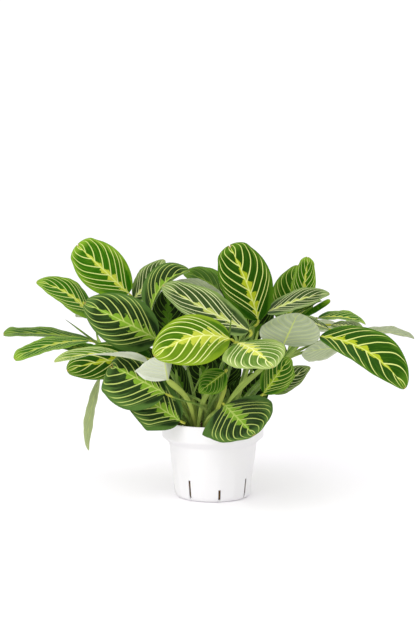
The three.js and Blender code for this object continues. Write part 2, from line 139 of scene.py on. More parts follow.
def attribute(tree, name):
    """A number that is stored at the points of a piece, or 0 where the piece has none."""
    return add_node(tree, "ShaderNodeAttribute", attribute_name=name).outputs["Fac"]


def paint(red, green, blue):
    """A screen colour from 0 to 255 a channel, as the linear colour that a shader takes."""
    screen = np.array((red, green, blue)) / 255
    linear = np.where(screen < 0.04045, screen / 12.92, ((screen + 0.055) / 1.055) ** 2.4)
    return (*linear.tolist(), 1.0)


def new_material(name, **sockets):
    """A material with one Principled shader, whose constant sockets are set by name."""
    made = bpy.data.materials.new(name)
    made.use_nodes = True
    shader = made.node_tree.nodes["Principled BSDF"]
    for key, value in sockets.items():
        shader.inputs[key.replace("_", " ").title().replace("Ior", "IOR")].default_value = value
    return made, made.node_tree, shader


def feed(tree, shader, colour, height=None, distance=0, strength=0, rough=None):
    """Links a colour to the shader, a height as its relief, `distance` metres for 1, and a roughness."""
    tree.links.new(colour, shader.inputs["Base Color"])
    if rough:
        tree.links.new(rough, shader.inputs["Roughness"])
    if height:
        sockets = {"Height": height, "Distance": distance, "Strength": strength}
        tree.links.new(add_node(tree, "ShaderNodeBump", sockets).outputs[0], shader.inputs["Normal"])


floor_mesh = bpy.data.meshes.new("floor")
corner = FLOOR_SIZE / 2
floor_mesh.from_pydata(
    [(-corner, -corner, 0), (corner, -corner, 0), (corner, corner, 0), (-corner, corner, 0)],
    [], [(0, 1, 2, 3)],
)
floor = bpy.data.objects.new("floor", floor_mesh)
scene.collection.objects.link(floor)
floor_paint, tree, shader = new_material("white floor", roughness=0.8)
cloud = noise(tree, object_place(tree), 3)
feed(tree, shader, blend_colour(tree, cloud, paint(251, 248, 252), paint(253, 251, 255)))
floor_mesh.materials.append(floor_paint)


# ---- Pot ------------------------------------------------------------------------------------------
# A nursery pot moulded in one piece from satin white polypropylene: a deep rim band over a tapered wall
# with sixteen soft flats, and drainage slots, short and long by turns, over every second corner.

WALL_TOP_RADIUS = 54.6 * MM
WALL_FOOT_RADIUS = 48.3 * MM
POT_WALL = 1.0 * MM
POT_FLOOR = 2.4 * MM
FLATS = 16
FLATS_TOP = 52 * MM
FLAT_START = math.radians(9.6) - math.pi / 2
FLAT_CORNER = 0.3
COLUMNS_PER_FLAT = 22
FLOOR_ROWS = 4
SLOT_COUNT = 8
SLOT_WIDTH = 2.9 * MM
SHORT_SLOT = (1.1 * MM, 16 * MM)
LONG_SLOT = (2 * MM, 26.5 * MM)


def add_piece(name, points, faces, materials, smooth_under=40):
    """Makes a mesh object of points and faces, smooth wherever faces meet at less than an angle."""
    mesh = bpy.data.meshes.new(name)
    mesh.from_pydata(points, [], faces)
    mesh.shade_smooth()
    mesh.set_sharp_from_angle(angle=math.radians(smooth_under))
    for each in materials:
        mesh.materials.append(each)
    made = bpy.data.objects.new(name, mesh)
    scene.collection.objects.link(made)
    return made


def grid_faces(rows, columns):
    """The quads between neighbouring rows of points, numbered row by row. Each row is a closed ring."""
    row, column = np.meshgrid(np.arange(rows - 1), np.arange(columns), indexing="ij")
    here = row * columns + column
    after = row * columns + (column + 1) % columns
    return np.stack((here, after, after + columns, here + columns), axis=-1)


def pot_profile():
    """The wall from the centre of its foot up to its rim: matching radii and heights, outside and in.

    The inside lies one wall thickness in, and starts at the top of the pot's floor.
    """
    heights = np.array((8, 11, 14, 16, 18, 22, 26.5, 30, 36, 42, 46, 50, 54, 60, 64, 66.4)) * MM
    foot = np.array(((3, 0), (20, 0), (40, 0), (42.6, 0), (43.9, 0.35), (45.2, 1.1), (45.9, 2.0),
                     (46.7, 3.3), (47.6, 5.4))) * MM
    rim = np.array(((54.75, 67.4), (55.3, 68.3), (56.4, 69.4), (60.6, 73.0), (62.4, 74.5), (63.1, 75.5),
                    (63.3, 77), (63.3, 80), (63.3, 88), (63.35, 92.4), (63.5, 93.2), (63.5, 94.9),
                    (63.3, 95.6), (62.9, 96))) * MM
    wall = np.interp(heights, (8 * MM, 67 * MM), (WALL_FOOT_RADIUS, WALL_TOP_RADIUS))
    outside = np.vstack((foot, np.column_stack((wall, heights)), rim))
    inside = outside - (POT_WALL, 0)
    inside[:FLOOR_ROWS, 0] = outside[:FLOOR_ROWS, 0] * 0.98
    rise = np.interp(outside[:, 1], (0, 8 * MM, 66 * MM, 73 * MM, 80 * MM),
                     (POT_FLOOR, 0.6 * MM, 0.3 * MM, 0.9 * MM, 0))
    inside[:, 1] += rise
    inside[-3:] = np.array(((62.3, 95.0), (62.35, 95.65), (62.6, 96))) * MM
    return outside, inside


def flat_scale(angle, height):
    """Draws a round wall in to chords with eased corners, and fades them out at the foot and the top."""
    half = math.pi / FLATS
    past = np.abs(np.mod(angle - FLAT_START, 2 * half) / half - 1)
    over = np.clip((past - 1 + FLAT_CORNER) / FLAT_CORNER, 0, 1)
    eased = past - 0.5 * FLAT_CORNER * over ** 2
    chord = math.cos(half) / np.cos(eased * half)
    shown = np.interp(height, (1 * MM, 8 * MM, 36 * MM, FLATS_TOP), (0, 1, 1, 0))
    return 1 + (chord - 1) * shown


def pot_mesh():
    """Turns the two profiles round the axis, and leaves out the cells of the slots, which get side walls."""
    slot_half = math.asin(SLOT_WIDTH / 2 / WALL_FOOT_RADIUS) / (2 * math.pi / FLATS)
    inner = np.linspace(slot_half, 1 - slot_half, COLUMNS_PER_FLAT - 1)
    within = np.concatenate(((0,), inner))
    angle = FLAT_START + (np.arange(FLATS)[:, None] + within).ravel() * 2 * math.pi / FLATS
    shells = []
    for radius, height in (profile.T for profile in pot_profile()):
        scaled = radius[:, None] * flat_scale(angle[None, :], height[:, None])
        rows = (scaled * np.cos(angle), scaled * np.sin(angle), height[:, None] + 0 * scaled)
        shells.append(np.stack(rows, axis=-1))
    outside, inside = shells
    rows, columns = outside.shape[:2]
    count = rows * columns
    cells = np.ones((rows - 1, columns), bool)
    heights = pot_profile()[0][:, 1]
    sides = []
    for k in range(SLOT_COUNT):
        low, high = SHORT_SLOT if k % 2 == 0 else LONG_SLOT
        bottom = int(np.argmin(np.abs(heights - low)[FLOOR_ROWS:])) + FLOOR_ROWS
        top = int(np.argmin(np.abs(heights - high)))
        middle = k * columns // SLOT_COUNT
        left, right = (middle - 1) % columns, middle + 1
        cells[bottom:top, (left, middle)] = False
        climb = np.arange(bottom, top + 1) * columns
        loop = np.concatenate((climb + left, (top * columns + middle,), climb[::-1] + right,
                               (bottom * columns + middle,)))
        after = np.roll(loop, -1)
        sides.append(np.stack((loop, after, after + count, loop + count), axis=-1))
    quads = grid_faces(rows, columns)
    brim = count - columns + np.arange(columns)
    brim_after = np.roll(brim, -1)
    faces = [quads[cells], (quads + count)[cells][:, ::-1], *sides,
             np.stack((brim, brim_after, brim_after + count, brim + count), axis=-1)]
    rings = [np.arange(columns)[::-1], count + np.arange(columns)]
    points = np.concatenate((outside.reshape(-1, 3), inside.reshape(-1, 3)))
    return points, np.concatenate(faces).tolist() + [ring.tolist() for ring in rings]


def satin_white():
    """White plastic: a faint cloudy tone, and a fine moulded grain that breaks up its gloss."""
    made, tree, shader = new_material("white pot plastic", roughness=0.42, specular_ior_level=0.45)
    place = object_place(tree)
    cloud = ease(tree, noise(tree, place, 14, 3), 0.3, 0.7)
    grain = noise(tree, place, 900, 3, 0.6)
    tone = blend_colour(tree, cloud, paint(230, 229, 229), paint(227, 226, 227))
    relief = maths(tree, "ADD", grain, noise(tree, place, 60, 2))
    feed(tree, shader, tone, relief, 0.0002, 0.25, rough=ease(tree, grain, 0.2, 0.8, 0.34, 0.52))
    return made


def face_outwards(piece):
    """Turns every face of a closed mesh to point out."""
    shell = bmesh.new()
    shell.from_mesh(piece.data)
    bmesh.ops.recalc_face_normals(shell, faces=shell.faces)
    shell.to_mesh(piece.data)
    shell.free()


pot = add_piece("slotted_pot", *pot_mesh(), [satin_white()])
face_outwards(pot)
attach(pot, "root")
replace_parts(pot, "pot")


# ---- Soil -----------------------------------------------------------------------------------------
# Moist peat compost packed into the pot up to 12 mm below the rim, slightly heaped in the middle, with
# loose crumbs, bark and a few white perlite grains lying on it.

SOIL_TOP = 84 * MM
SOIL_CROWN = 1.2 * MM
SOIL_GAP = 0.15 * MM
SOIL_RINGS = 26
SOIL_COLUMNS = 144
SOIL_WAVE = 0.28 * MM
SOIL_WAVES = ((310, 90), (-120, 280), (520, -400), (-700, -520), (860, 240))
CRUMB_COUNT = 620
CRUMB_SIZES = (0.9 * MM, 2.3 * MM)
CRUMB_REACH = 57 * MM
HEAP_REACH = 60
LUMP_SCALE, LUMP_EDGE = 1.9, 1.2
CRUMB_SEED = 4


def soil_mesh():
    """The compost as a turned body: under the surface it follows the pot's inside, on top it is heaped.

    The heap's height is the crown's dome plus five crossing sine waves that fade towards the rim.
    """
    inside = pot_profile()[1]
    filled = inside[inside[:, 1] < SOIL_TOP - 3 * MM]
    side = filled - (SOIL_GAP, 0)
    side[:, 1] += SOIL_GAP
    edge = side[-1, 0]
    ring = np.linspace(1, 0.03, SOIL_RINGS)
    top = np.column_stack((ring * edge, np.full(ring.size, SOIL_TOP)))
    angle = FLAT_START + np.linspace(0, 2 * math.pi, SOIL_COLUMNS, endpoint=False)
    radius = np.concatenate((side[:, 0], top[:, 0]))
    height = np.concatenate((side[:, 1], top[:, 1]))
    scaled = radius[:, None] * flat_scale(angle[None, :], height[:, None])
    x, y = scaled * np.cos(angle), scaled * np.sin(angle)
    z = height[:, None] + 0 * x
    part = ring[:, None]
    heap = slice(len(side), None)
    waves = sum(np.sin(x[heap] * a + y[heap] * b + k) for k, (a, b) in enumerate(SOIL_WAVES))
    z[heap] += SOIL_CROWN * (1 - part ** 2) + SOIL_WAVE * waves * np.clip(4 * (1 - part), 0, 1)
    points = np.stack((x, y, z), axis=-1)
    rows, columns = x.shape
    faces = grid_faces(rows, columns).reshape(-1, 4).tolist()
    ends = [np.arange(columns)[::-1].tolist(), ((rows - 1) * columns + np.arange(columns)).tolist()]
    return points.reshape(-1, 3), faces + ends


def crumb_mesh(chance):
    """Copies of a twelve-cornered lump, each squashed, turned and set on the heap at a drawn place."""
    gold = (1 + 5 ** 0.5) / 2
    lump = np.array([(0, s, t * gold) for s in (-1, 1) for t in (-1, 1)])
    lump = np.concatenate((lump, np.roll(lump, 1, axis=1), np.roll(lump, 2, axis=1))) / LUMP_SCALE
    near = np.linalg.norm(lump[:, None] - lump[None], axis=-1) < LUMP_EDGE
    faces = [(a, b, c) for a in range(12) for b in range(a + 1, 12) for c in range(b + 1, 12)
             if near[a, b] and near[b, c] and near[a, c]]
    faces = [f if np.dot(np.cross(lump[f[1]] - lump[f[0]], lump[f[2]] - lump[f[0]]), lump[f[0]]) > 0
             else f[::-1] for f in faces]
    size = chance.uniform(*CRUMB_SIZES, CRUMB_COUNT)
    stretch = chance.uniform(0.5, 1.2, (CRUMB_COUNT, 1, 3)) * size[:, None, None]
    bumps = chance.uniform(0.8, 1.15, (CRUMB_COUNT, 12, 1))
    spin = chance.uniform(0, 2 * math.pi, CRUMB_COUNT)
    shape = lump * stretch * bumps
    turned = np.stack((shape[..., 0] * np.cos(spin)[:, None] - shape[..., 1] * np.sin(spin)[:, None],
                       shape[..., 0] * np.sin(spin)[:, None] + shape[..., 1] * np.cos(spin)[:, None],
                       shape[..., 2]), axis=-1)
    reach = CRUMB_REACH * np.sqrt(chance.uniform(0, 1, CRUMB_COUNT))
    angle = chance.uniform(0, 2 * math.pi, CRUMB_COUNT)
    height = SOIL_TOP + SOIL_CROWN * (1 - (reach / HEAP_REACH / MM) ** 2) + 0.3 * size
    turned += np.stack((reach * np.cos(angle), reach * np.sin(angle), height), axis=-1)[:, None]
    numbers = np.arange(CRUMB_COUNT)[:, None, None] * 12 + np.array(faces)
    kind = np.repeat(chance.uniform(0, 1, CRUMB_COUNT), 12)
    return turned.reshape(-1, 3), numbers.reshape(-1, 3).tolist(), kind


def add_attribute(piece, name, values):
    """Stores one number at each point of a piece, for its material to read."""
    piece.data.attributes.new(name, "FLOAT", "POINT").data.foreach_set("value", np.ravel(values))


def add_chart(piece, name, chart):
    """Gives a piece a UV map, from a pair of numbers at each of its points."""
    corners = np.empty(len(piece.data.loops), np.int32)
    piece.data.loops.foreach_get("vertex_index", corners)
    piece.data.uv_layers.new(name=name).data.foreach_set("uv", chart[corners].ravel())


def compost(name, wet, dry, pale):
    """Compost: dark fibres and drier specks; where the `kind` attribute is near 1, a pale grain."""
    made, tree, shader = new_material(name, roughness=0.95, specular_ior_level=0.2)
    place = object_place(tree)
    fibre = noise(tree, place, 700, 4, 0.65)
    patch = noise(tree, place, 120, 3)
    relief = maths(tree, "ADD", fibre, patch)
    brown = blend_colour(tree, ease(tree, relief, 0.75, 1.3), wet, dry)
    grain = blend_colour(tree, ease(tree, attribute(tree, "kind"), 0.93, 0.94), brown, pale)
    feed(tree, shader, grain, relief, 0.0008, 0.9)
    return made


soil_finish = compost("damp compost", paint(38, 27, 19), paint(104, 78, 52), paint(214, 208, 196))
soil = add_piece("compost", *soil_mesh(), [soil_finish])
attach(soil, "root")
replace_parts(soil, "soil")

crumb_points, crumb_faces, crumb_kind = crumb_mesh(np.random.default_rng(CRUMB_SEED))
crumbs = add_piece("compost_crumbs", crumb_points, crumb_faces, [soil_finish])
add_attribute(crumbs, "kind", crumb_kind)
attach(crumbs, "root")


# ---- How the plant has grown ----------------------------------------------------------------------
# Nine shoots rise from the soil and arch out over the rim. Each carries leaves on stalks of their own:
# a leaf is a stalk, a swollen joint that turns with the light, and a broad blade with a midrib.

SHOOTS = {
    "far_left": ((-26, -6, 87.5), (-60, -14, 122), (-106, -14, 168), (-140, -12, 191)),
    "front_left": ((-24, -22, 87.5), (-44, -32, 108), (-58, -42, 134), (-62, -50, 160)),
    "upper_left": ((-18, 12, 87.5), (-40, 22, 130), (-70, 26, 180), (-92, 26, 226)),
    "front_middle": ((-8, -20, 87.5), (-5, -34, 116), (4, -46, 150), (19, -60, 190)),
    "crown": ((2, 6, 87.5), (12, 16, 130), (26, 18, 170), (40, 10, 202)),
    "front_right": ((8, -24, 87.5), (24, -38, 108), (48, -42, 140), (88, -38, 176)),
    "far_right": ((20, 2, 87.5), (48, 2, 124), (84, 6, 166), (112, 4, 200)),
    "back_left": ((-14, 26, 87.5), (-30, 52, 116), (-44, 76, 150), (-50, 86, 178)),
    "back_right": ((12, 24, 87.5), (30, 50, 116), (52, 74, 150), (58, 84, 178)),
}


def leaf(name, shoot, at, base, tip, half, face, tone, **shape):
    """One leaf, in millimetres. Its stalk leaves the shoot at `at`, from 0 at the soil to 1 at the end.

    The blade runs from `base` to `tip`, is twice `half` wide, and its upper side looks along `face`.
    `arch` lifts the midrib and `sweep` bends it sideways; `fold` raises each half and `twist` turns the
    blade along its length, in degrees; `taper` moves the widest place and `blunt` fills out the ends.
    `square` and `dent` cut the tip off and draw its middle in, `corner` draws out one half at a place by
    a share, `halves` scales each half, and `wave` is how far the margin waves. `finish` and `under` name
    the two sides' looks, `marks` is how strong the pattern is, `slant` how far the side veins lean, and
    `faded` how far the dark patches are taken out of each half; on the bright leaf this is painted
    light on the half that faces up into the light.
    """
    plain = dict(arch=0, sweep=0, fold=(8, 8), twist=0, taper=1, blunt=0.52, square=0, dent=0,
                 corner=(1, 0.5, 0), halves=(1, 1), wave=1, finish="grey" if tone == "pale" else tone,
                 under="grey", marks=1, slant=1, faded=(0, 0))
    return dict(plain, name=name, shoot=shoot, at=at, base=base, tip=tip, half=half, face=face,
                tone=tone, **shape)


LEAVES = [
    # The left side, from the top down.
    leaf("top_left", "upper_left", 1, (-105, 20, 251), (-167, 0, 313), 28, (0, -1, 0.1), "lime",
         arch=4, fold=(4, 4), taper=1.15, blunt=0.45, square=0.1, dent=2),
    leaf("high_left", "far_left", 0.9, (-153, 25, 224), (-215, 5, 267), 23, (0.1, -0.62, 0.78), "lime",
         arch=9, fold=(4, 4), taper=0.85),
    leaf("reach_left", "far_left", 0.95, (-153, 16, 193), (-256, 0, 203.5), 19, (0, -0.22, 0.97), "mid",
         marks=0.6, arch=3, fold=(6, 6), taper=1.3, blunt=0.42, square=0.4),
    leaf("low_left", "far_left", 1, (-153, -10, 195), (-238, -44, 179), 19, (0, -0.3, 0.95), "mid",
         finish="lime", marks=0.7, arch=6, fold=(4, 4), taper=1.4, blunt=0.42, square=0.2),
    leaf("small_left", "far_left", 0.85, (-144, 0, 185), (-188, -8, 187), 11, (0, -0.4, 0.92), "mid",
         finish="lime", marks=0.3),
    leaf("big_left", "front_left", 1, (-68, -55, 203), (-149, -85, 248), 31, (0, -1, 0.25), "dark",
         arch=8, fold=(-4, -4), taper=0.9, blunt=0.45),
    leaf("pale_left", "front_left", 0.95, (-79, -87, 179), (-184, -100, 183), 15, (0, 0, 1), "pale",
         finish="cream", under="white", arch=8, fold=(12, 22), twist=-70, taper=0.8),
    leaf("shade_left", "front_left", 0.8, (-76, -50, 178), (-172, -64, 167), 25, (0, -0.8, 0.6), "dark",
         finish="gold", sweep=5, fold=(0, 0), blunt=0.42),
    leaf("front_left", "front_middle", 0.12, (-57, -78, 140), (-123, -83, 176), 33, (0, -1, 0.25), "dark",
         arch=5, fold=(0, -25), square=0.2, dent=5, corner=(-1, 0.88, 0.4), halves=(1.12, 0.85)),
    leaf("rim_left", "front_left", 0.1, (-40, -60, 104), (-104, -75, 149), 28, (0, -0.85, 0.5), "dark",
         blunt=0.45, corner=(-1, 0.4, 0.24)),
    leaf("hanging", "far_left", 0.7, (-137, -55, 155), (-152, -60, 71), 18, (-0.97, 0.24, 0), "pale",
         under="green", arch=4, fold=(0, 0), wave=0.5),
    leaf("turned_away", "front_middle", 0.2, (-54, -82, 157), (-58, -118, 191), 29, (-0.17, 0.77, 0.61),
         "pale", under="white", fold=(65, 0), blunt=0.35, corner=(1, 0.6, 0.25)),
    # The crown, from left to right.
    leaf("crown_a", "upper_left", 0.95, (-99, 30, 244), (-63, 25, 291), 17, (-0.4, -0.9, 0.3), "dark",
         finish="grey", arch=4, sweep=4, fold=(8, 0)),
    leaf("crown_b", "upper_left", 0.85, (-76, 0, 233), (-32, 0, 280), 22, (-0.25, -0.95, 0.3), "dark",
         sweep=-11, fold=(5, 60)),
    # Crown_c lies deep in the crown and takes the shaded finish: painted shade.
    leaf("crown_c", "upper_left", 0.5, (-57, 75, 188), (-57, 60, 252), 22, (0, -1, 0.1), "dark",
         finish="shade"),
    leaf("crown_d", "crown", 0.9, (14, 15, 240), (-48, 5, 266), 15, (0, 0.6, 0.8), "pale", arch=5),
    leaf("crown_e", "crown", 0.75, (24, 66, 229), (-34, 46, 275), 25, (0, -0.6, 0.8), "mid",
         finish="plain", marks=0.35, arch=10, fold=(5, 5)),
    leaf("crown_f", "crown", 0.8, (46, 32, 209), (12, 26, 270), 18, (-0.4, -0.8, 0.2), "dark"),
    leaf("tall", "crown", 1, (56, 2, 220), (20, -15, 313), 31, (0, -1, 0.1), "dark",
         finish="gold", arch=4, sweep=3, taper=1.15, blunt=0.45, square=0.1, dent=3),
    leaf("striped", "front_middle", 0.95, (43, -55, 213), (-57, -60, 267), 28, (0, -0.68, 0.73), "dark",
         finish="grey", slant=1.2, halves=(0.9, 1), arch=3, sweep=-5, fold=(4, 4), square=0.1),
    # The front.
    # The bright leaf has the dark patches of one half partly lifted: painted light where that half faces up
    # into the light.
    leaf("bright", "front_middle", 0.9, (20, -84, 206), (-66, -125, 193), 33, (0, -0.95, 0.35), "lime",
         finish="bright", faded=(0.35, 0), halves=(1, 0.82), arch=10, sweep=9, fold=(-4, -4), blunt=0.45),
    leaf("facing_up", "front_middle", 0.7, (30, -88, 202), (66, -165, 186), 37, (-0.1, -0.4, 0.9), "lime",
         finish="cream", arch=4, fold=(-5, -5), corner=(-1, 0.25, 0.2), halves=(0.92, 1)),
    leaf("young", "front_middle", 0.7, (14, -68, 164), (-14, -80, 144), 15, (0.2, -0.85, 0.5), "mid",
         marks=0.45, fold=(0, 0)),
    leaf("over_rim", "front_right", 0.1, (14, -72, 125), (45, -150, 105), 37, (-0.4, -0.47, 0.79), "dark",
         fold=(-8, -3), taper=0.85, blunt=0.45, corner=(1, 0.24, 0.28), halves=(1.18, 1)),
    # The two inner leaves take the shaded finish: painted shade inside the plant.
    leaf("inner_left", "back_left", 0.1, (-4, 44, 112), (-16, 52, 165), 27, (0, -1, 0.2), "dark",
         finish="shade"),
    leaf("inner_right", "back_right", 0.1, (34, 30, 106), (62, 18, 148), 22, (0, -1, 0.2), "dark",
         finish="shade"),
    # The right side, from the top down.
    leaf("back_crown", "far_right", 0.7, (96, 60, 207), (107, 50, 281), 27, (0, -1, 0.1), "mid", arch=4),
    leaf("top_right", "far_right", 0.85, (110, 35, 231), (119, 20, 296), 16, (0.3, -0.9, 0.1), "lime",
         fold=(0, 55), square=0.15, dent=1),
    leaf("grey", "crown", 0.85, (67, 5, 229), (140, -10, 254), 20, (0, -0.5, 0.86), "dark",
         finish="grey", arch=3, fold=(4, 4)),
    leaf("small_right", "far_right", 0.8, (95, 14, 222), (131, 4, 243), 11, (0, -0.3, 0.95), "lime",
         marks=0.4),
    leaf("underside", "front_right", 0.9, (85, -45, 195), (99, -105, 239), 35, (0.1, 0.45, 0.88), "pale",
         slant=0.8, fold=(-8, -8), taper=0.9, blunt=0.45),
    leaf("behind", "front_right", 1, (140, -37, 213), (104, -51, 228), 10, (0, -0.5, 0.87), "pale",
         finish="grey"),
    leaf("edge_on", "far_right", 0.95, (146, -13, 215), (178, -38, 216.5), 11, (0, -0.4, 0.9), "mid",
         finish="grey"),
    leaf("upper_right", "far_right", 1, (131, 12, 221), (187, 4, 216.5), 18, (0, -0.22, 0.97), "mid",
         finish="lime", arch=4),
    leaf("drooping", "front_right", 1, (129, -58, 206), (223, -112, 154), 27, (0.35, -0.75, 0.55), "dark",
         finish="gold", slant=0.6, arch=14, sweep=-5, taper=1.1, halves=(1.2, 1)),
    leaf("far_right", "far_right", 1, (189, 15, 206), (250, 25, 196), 14, (0, 0.4, 0.92), "pale", arch=2),
    leaf("under_right", "front_right", 0.95, (160, -8, 188), (109, -50, 187), 20, (0, 0.9, 0.6), "pale",
         fold=(-4, -4)),
    leaf("low_right", "front_right", 0.45, (61, -58, 137), (89, -78, 180), 20, (-0.45, -0.8, 0.4), "mid",
         fold=(5, -50)),
    leaf("shade_right", "far_right", 0.25, (72, -15, 133), (116, -25, 163), 14, (0, -0.75, 0.6), "dark",
         finish="grey", taper=0.9),
    # The back.
    leaf("back_a", "back_left", 0.9, (-104, 70, 192), (-176, 112, 214), 28, (-0.1, 0.5, 0.85), "mid",
         arch=8),
    leaf("back_b", "back_left", 1, (-62, 104, 176), (-104, 168, 160), 30, (-0.2, 0.6, 0.8), "dark",
         arch=10),
    leaf("back_c", "back_left", 0.95, (-14, 92, 206), (-30, 172, 204), 30, (0, 0.6, 0.8), "lime", arch=8),
    leaf("back_d", "back_right", 0.9, (46, 104, 172), (76, 166, 146), 28, (0.2, 0.6, 0.8), "dark", arch=9),
    leaf("back_e", "back_right", 0.9, (96, 84, 186), (166, 124, 192), 28, (0.2, 0.5, 0.85), "mid", arch=8),
    leaf("back_f", "back_right", 0.6, (-4, 84, 150), (-26, 144, 122), 27, (-0.1, 0.7, 0.7), "dark", arch=8),
    leaf("back_g", "back_left", 0.6, (-78, 60, 146), (-128, 96, 132), 24, (-0.2, 0.6, 0.8), "dark", arch=7),
]

# Leaves deep inside and at the back, which grow from their shoots with no gap at the joint. They all take
# the shaded finish, whose darker colours are painted shade.
INNER_LEAVES = [
    leaf("inner_" + letter, *row, (0, -1, 0.2), "dark") for letter, *row in (
        ("a", "back_left", 0.15, (-42, 57, 108), (-92, 58, 178), 19),
        ("j", "back_left", 0.1, (-31, 38, 101), (-52, 41, 166), 13),
        ("b", "back_right", 0.2, (10, 57, 122), (14, 61, 174), 24),
        ("c", "back_right", 0.4, (62, 36, 140), (84, 40, 188), 23),
        ("h", "back_left", 0.05, (-10, 62, 99), (-16, 67, 138), 23),
        ("i", "back_right", 0.05, (26, 46, 99), (32, 50, 134), 20),
        ("g", "crown", 0.6, (28, 34, 158), (36, 34, 206), 22),
        ("d", "back_left", 0.9, (-26, 78, 196), (-32, 86, 252), 26),
        ("e", "upper_left", 0.75, (-96, 56, 190), (-112, 66, 242), 25),
        ("f", "back_right", 0.95, (56, 76, 186), (48, 84, 252), 26),
    )
] + [
    leaf("rear_" + letter, *row, "dark", arch=6) for letter, *row in (
        ("a", "back_left", 0.1, (-14, 70, 108), (-34, 126, 96), 25, (0, 0.5, 0.85)),
        ("b", "back_right", 0.1, (22, 68, 110), (42, 124, 98), 24, (0, 0.5, 0.85)),
        ("c", "back_left", 1, (-66, 92, 212), (-98, 140, 240), 28, (-0.1, 0.6, 0.8)),
        ("d", "back_right", 1, (70, 100, 208), (92, 152, 236), 28, (0.1, 0.6, 0.8)),
        ("e", "crown", 0.7, (4, 84, 232), (4, 136, 266), 27, (0, 0.6, 0.8)),
    )
]


# ---- Blades ---------------------------------------------------------------------------------------
# Each blade is one thin shell: a midrib that runs out to a short tip, side veins that sink the upper
# side in shallow furrows and curve forward to the margin, and a feathered band along the midrib.

BLADE_END = 1.2 * MM
BLADE_STEPS = 76
BLADE_COLUMNS = 30
COLUMN_CROWDING = 1.35
FOLD_WIDTH = 0.06
MARGIN_TURN = math.radians(10)
CORNER_LENGTH = 0.16
MARGIN_THICKNESS = 0.16 * MM
MIDDLE_THICKNESS = 0.5 * MM
MIDRIB_DEPTH = 0.9 * MM
MIDRIB_WIDTH = 1.3 * MM
FURROW_DEPTH = 0.4 * MM
FURROW_WIDTH = 0.17
TIP_LENGTH = 3.2 * MM
NOD_START, NOD_LENGTH, NOD_DEPTH = 0.9, 0.1, 2 * MM
DENT_START, DENT_LENGTH, DENT_WIDTH = 0.8, 0.2, 0.3
SQUARE_AT, SQUARE_LENGTH = 0.95, 0.06
VEINS = 7.6
VEIN_SPREAD = 0.7
VEIN_START = 0.08
VEIN_LEAN = 0.38
VEIN_CURL = 0.1
VEIN_HOOK = 0.14
VEIN_STAGGER = 0.3
HALF_LENGTHS = 2.5


def unit(vectors):
    """Scales vectors to a length of one."""
    return vectors / np.linalg.norm(vectors, axis=-1, keepdims=True)


def midrib(blade, u):
    """The midrib at `u`, from 0 at the joint to 1 at the tip: points, and three directions at each.

    A straight chord, lifted and bent sideways by parabolas; the blade's frame turns evenly with `twist`.
    """
    u = np.asarray(u, float)[:, None]
    base, tip = np.array(blade["base"]) * MM, np.array(blade["tip"]) * MM
    chord = tip - base
    along = unit(chord)
    face = np.array(blade["face"], float)
    up = unit(face - along * face.dot(along))
    bend = (up * blade["arch"] + np.cross(along, up) * blade["sweep"]) * MM
    point = base + chord * u + bend * 4 * u * (1 - u)
    tangent = unit(chord + bend * 4 * (1 - 2 * u))
    side = unit(np.cross(tangent, up))
    normal = np.cross(side, tangent)
    turn = math.radians(blade["twist"]) * (u - 0.5)
    return (point, tangent, side * np.cos(turn) - normal * np.sin(turn),
            normal * np.cos(turn) + side * np.sin(turn))


def vein_phase(u, v, slant):
    """How many side veins lie between a point and the joint: whole numbers are on a vein.

    A vein leaves the midrib at a lean, bends forward as the square of its way to the margin, and hooks
    along the margin as the eighth power. They stand closer together near the joint, as a power of the
    way to the tip, and those of the right half are staggered against the left. `slant` scales the leaning.
    """
    way = u - slant * (VEIN_LEAN * np.abs(v) + VEIN_CURL * v ** 2 + VEIN_HOOK * v ** 8)
    return 0.5 + VEINS * (way + VEIN_START).clip(0) ** VEIN_SPREAD + VEIN_STAGGER * (v > 0)


def cross_section(blade, v):
    """A section of unit half width: its direction turns from flat at the midrib to the half's fold, and
    evenly down to the margin; the sums of its cosine and sine give the place and the height.
    """
    fold = np.radians(np.where(v < 0, blade["fold"][0], blade["fold"][1]))
    slope = fold * (1 - np.exp(-np.abs(v) / FOLD_WIDTH)) * 1.07 - MARGIN_TURN * (np.abs(v) - 0.5)
    step = np.diff(v, prepend=v[0])
    across = np.cumsum(np.cos(slope) * step)
    height = np.cumsum(np.sin(slope) * np.sign(v) * step)
    middle = v.size // 2
    return across - across[middle], height - height[middle]


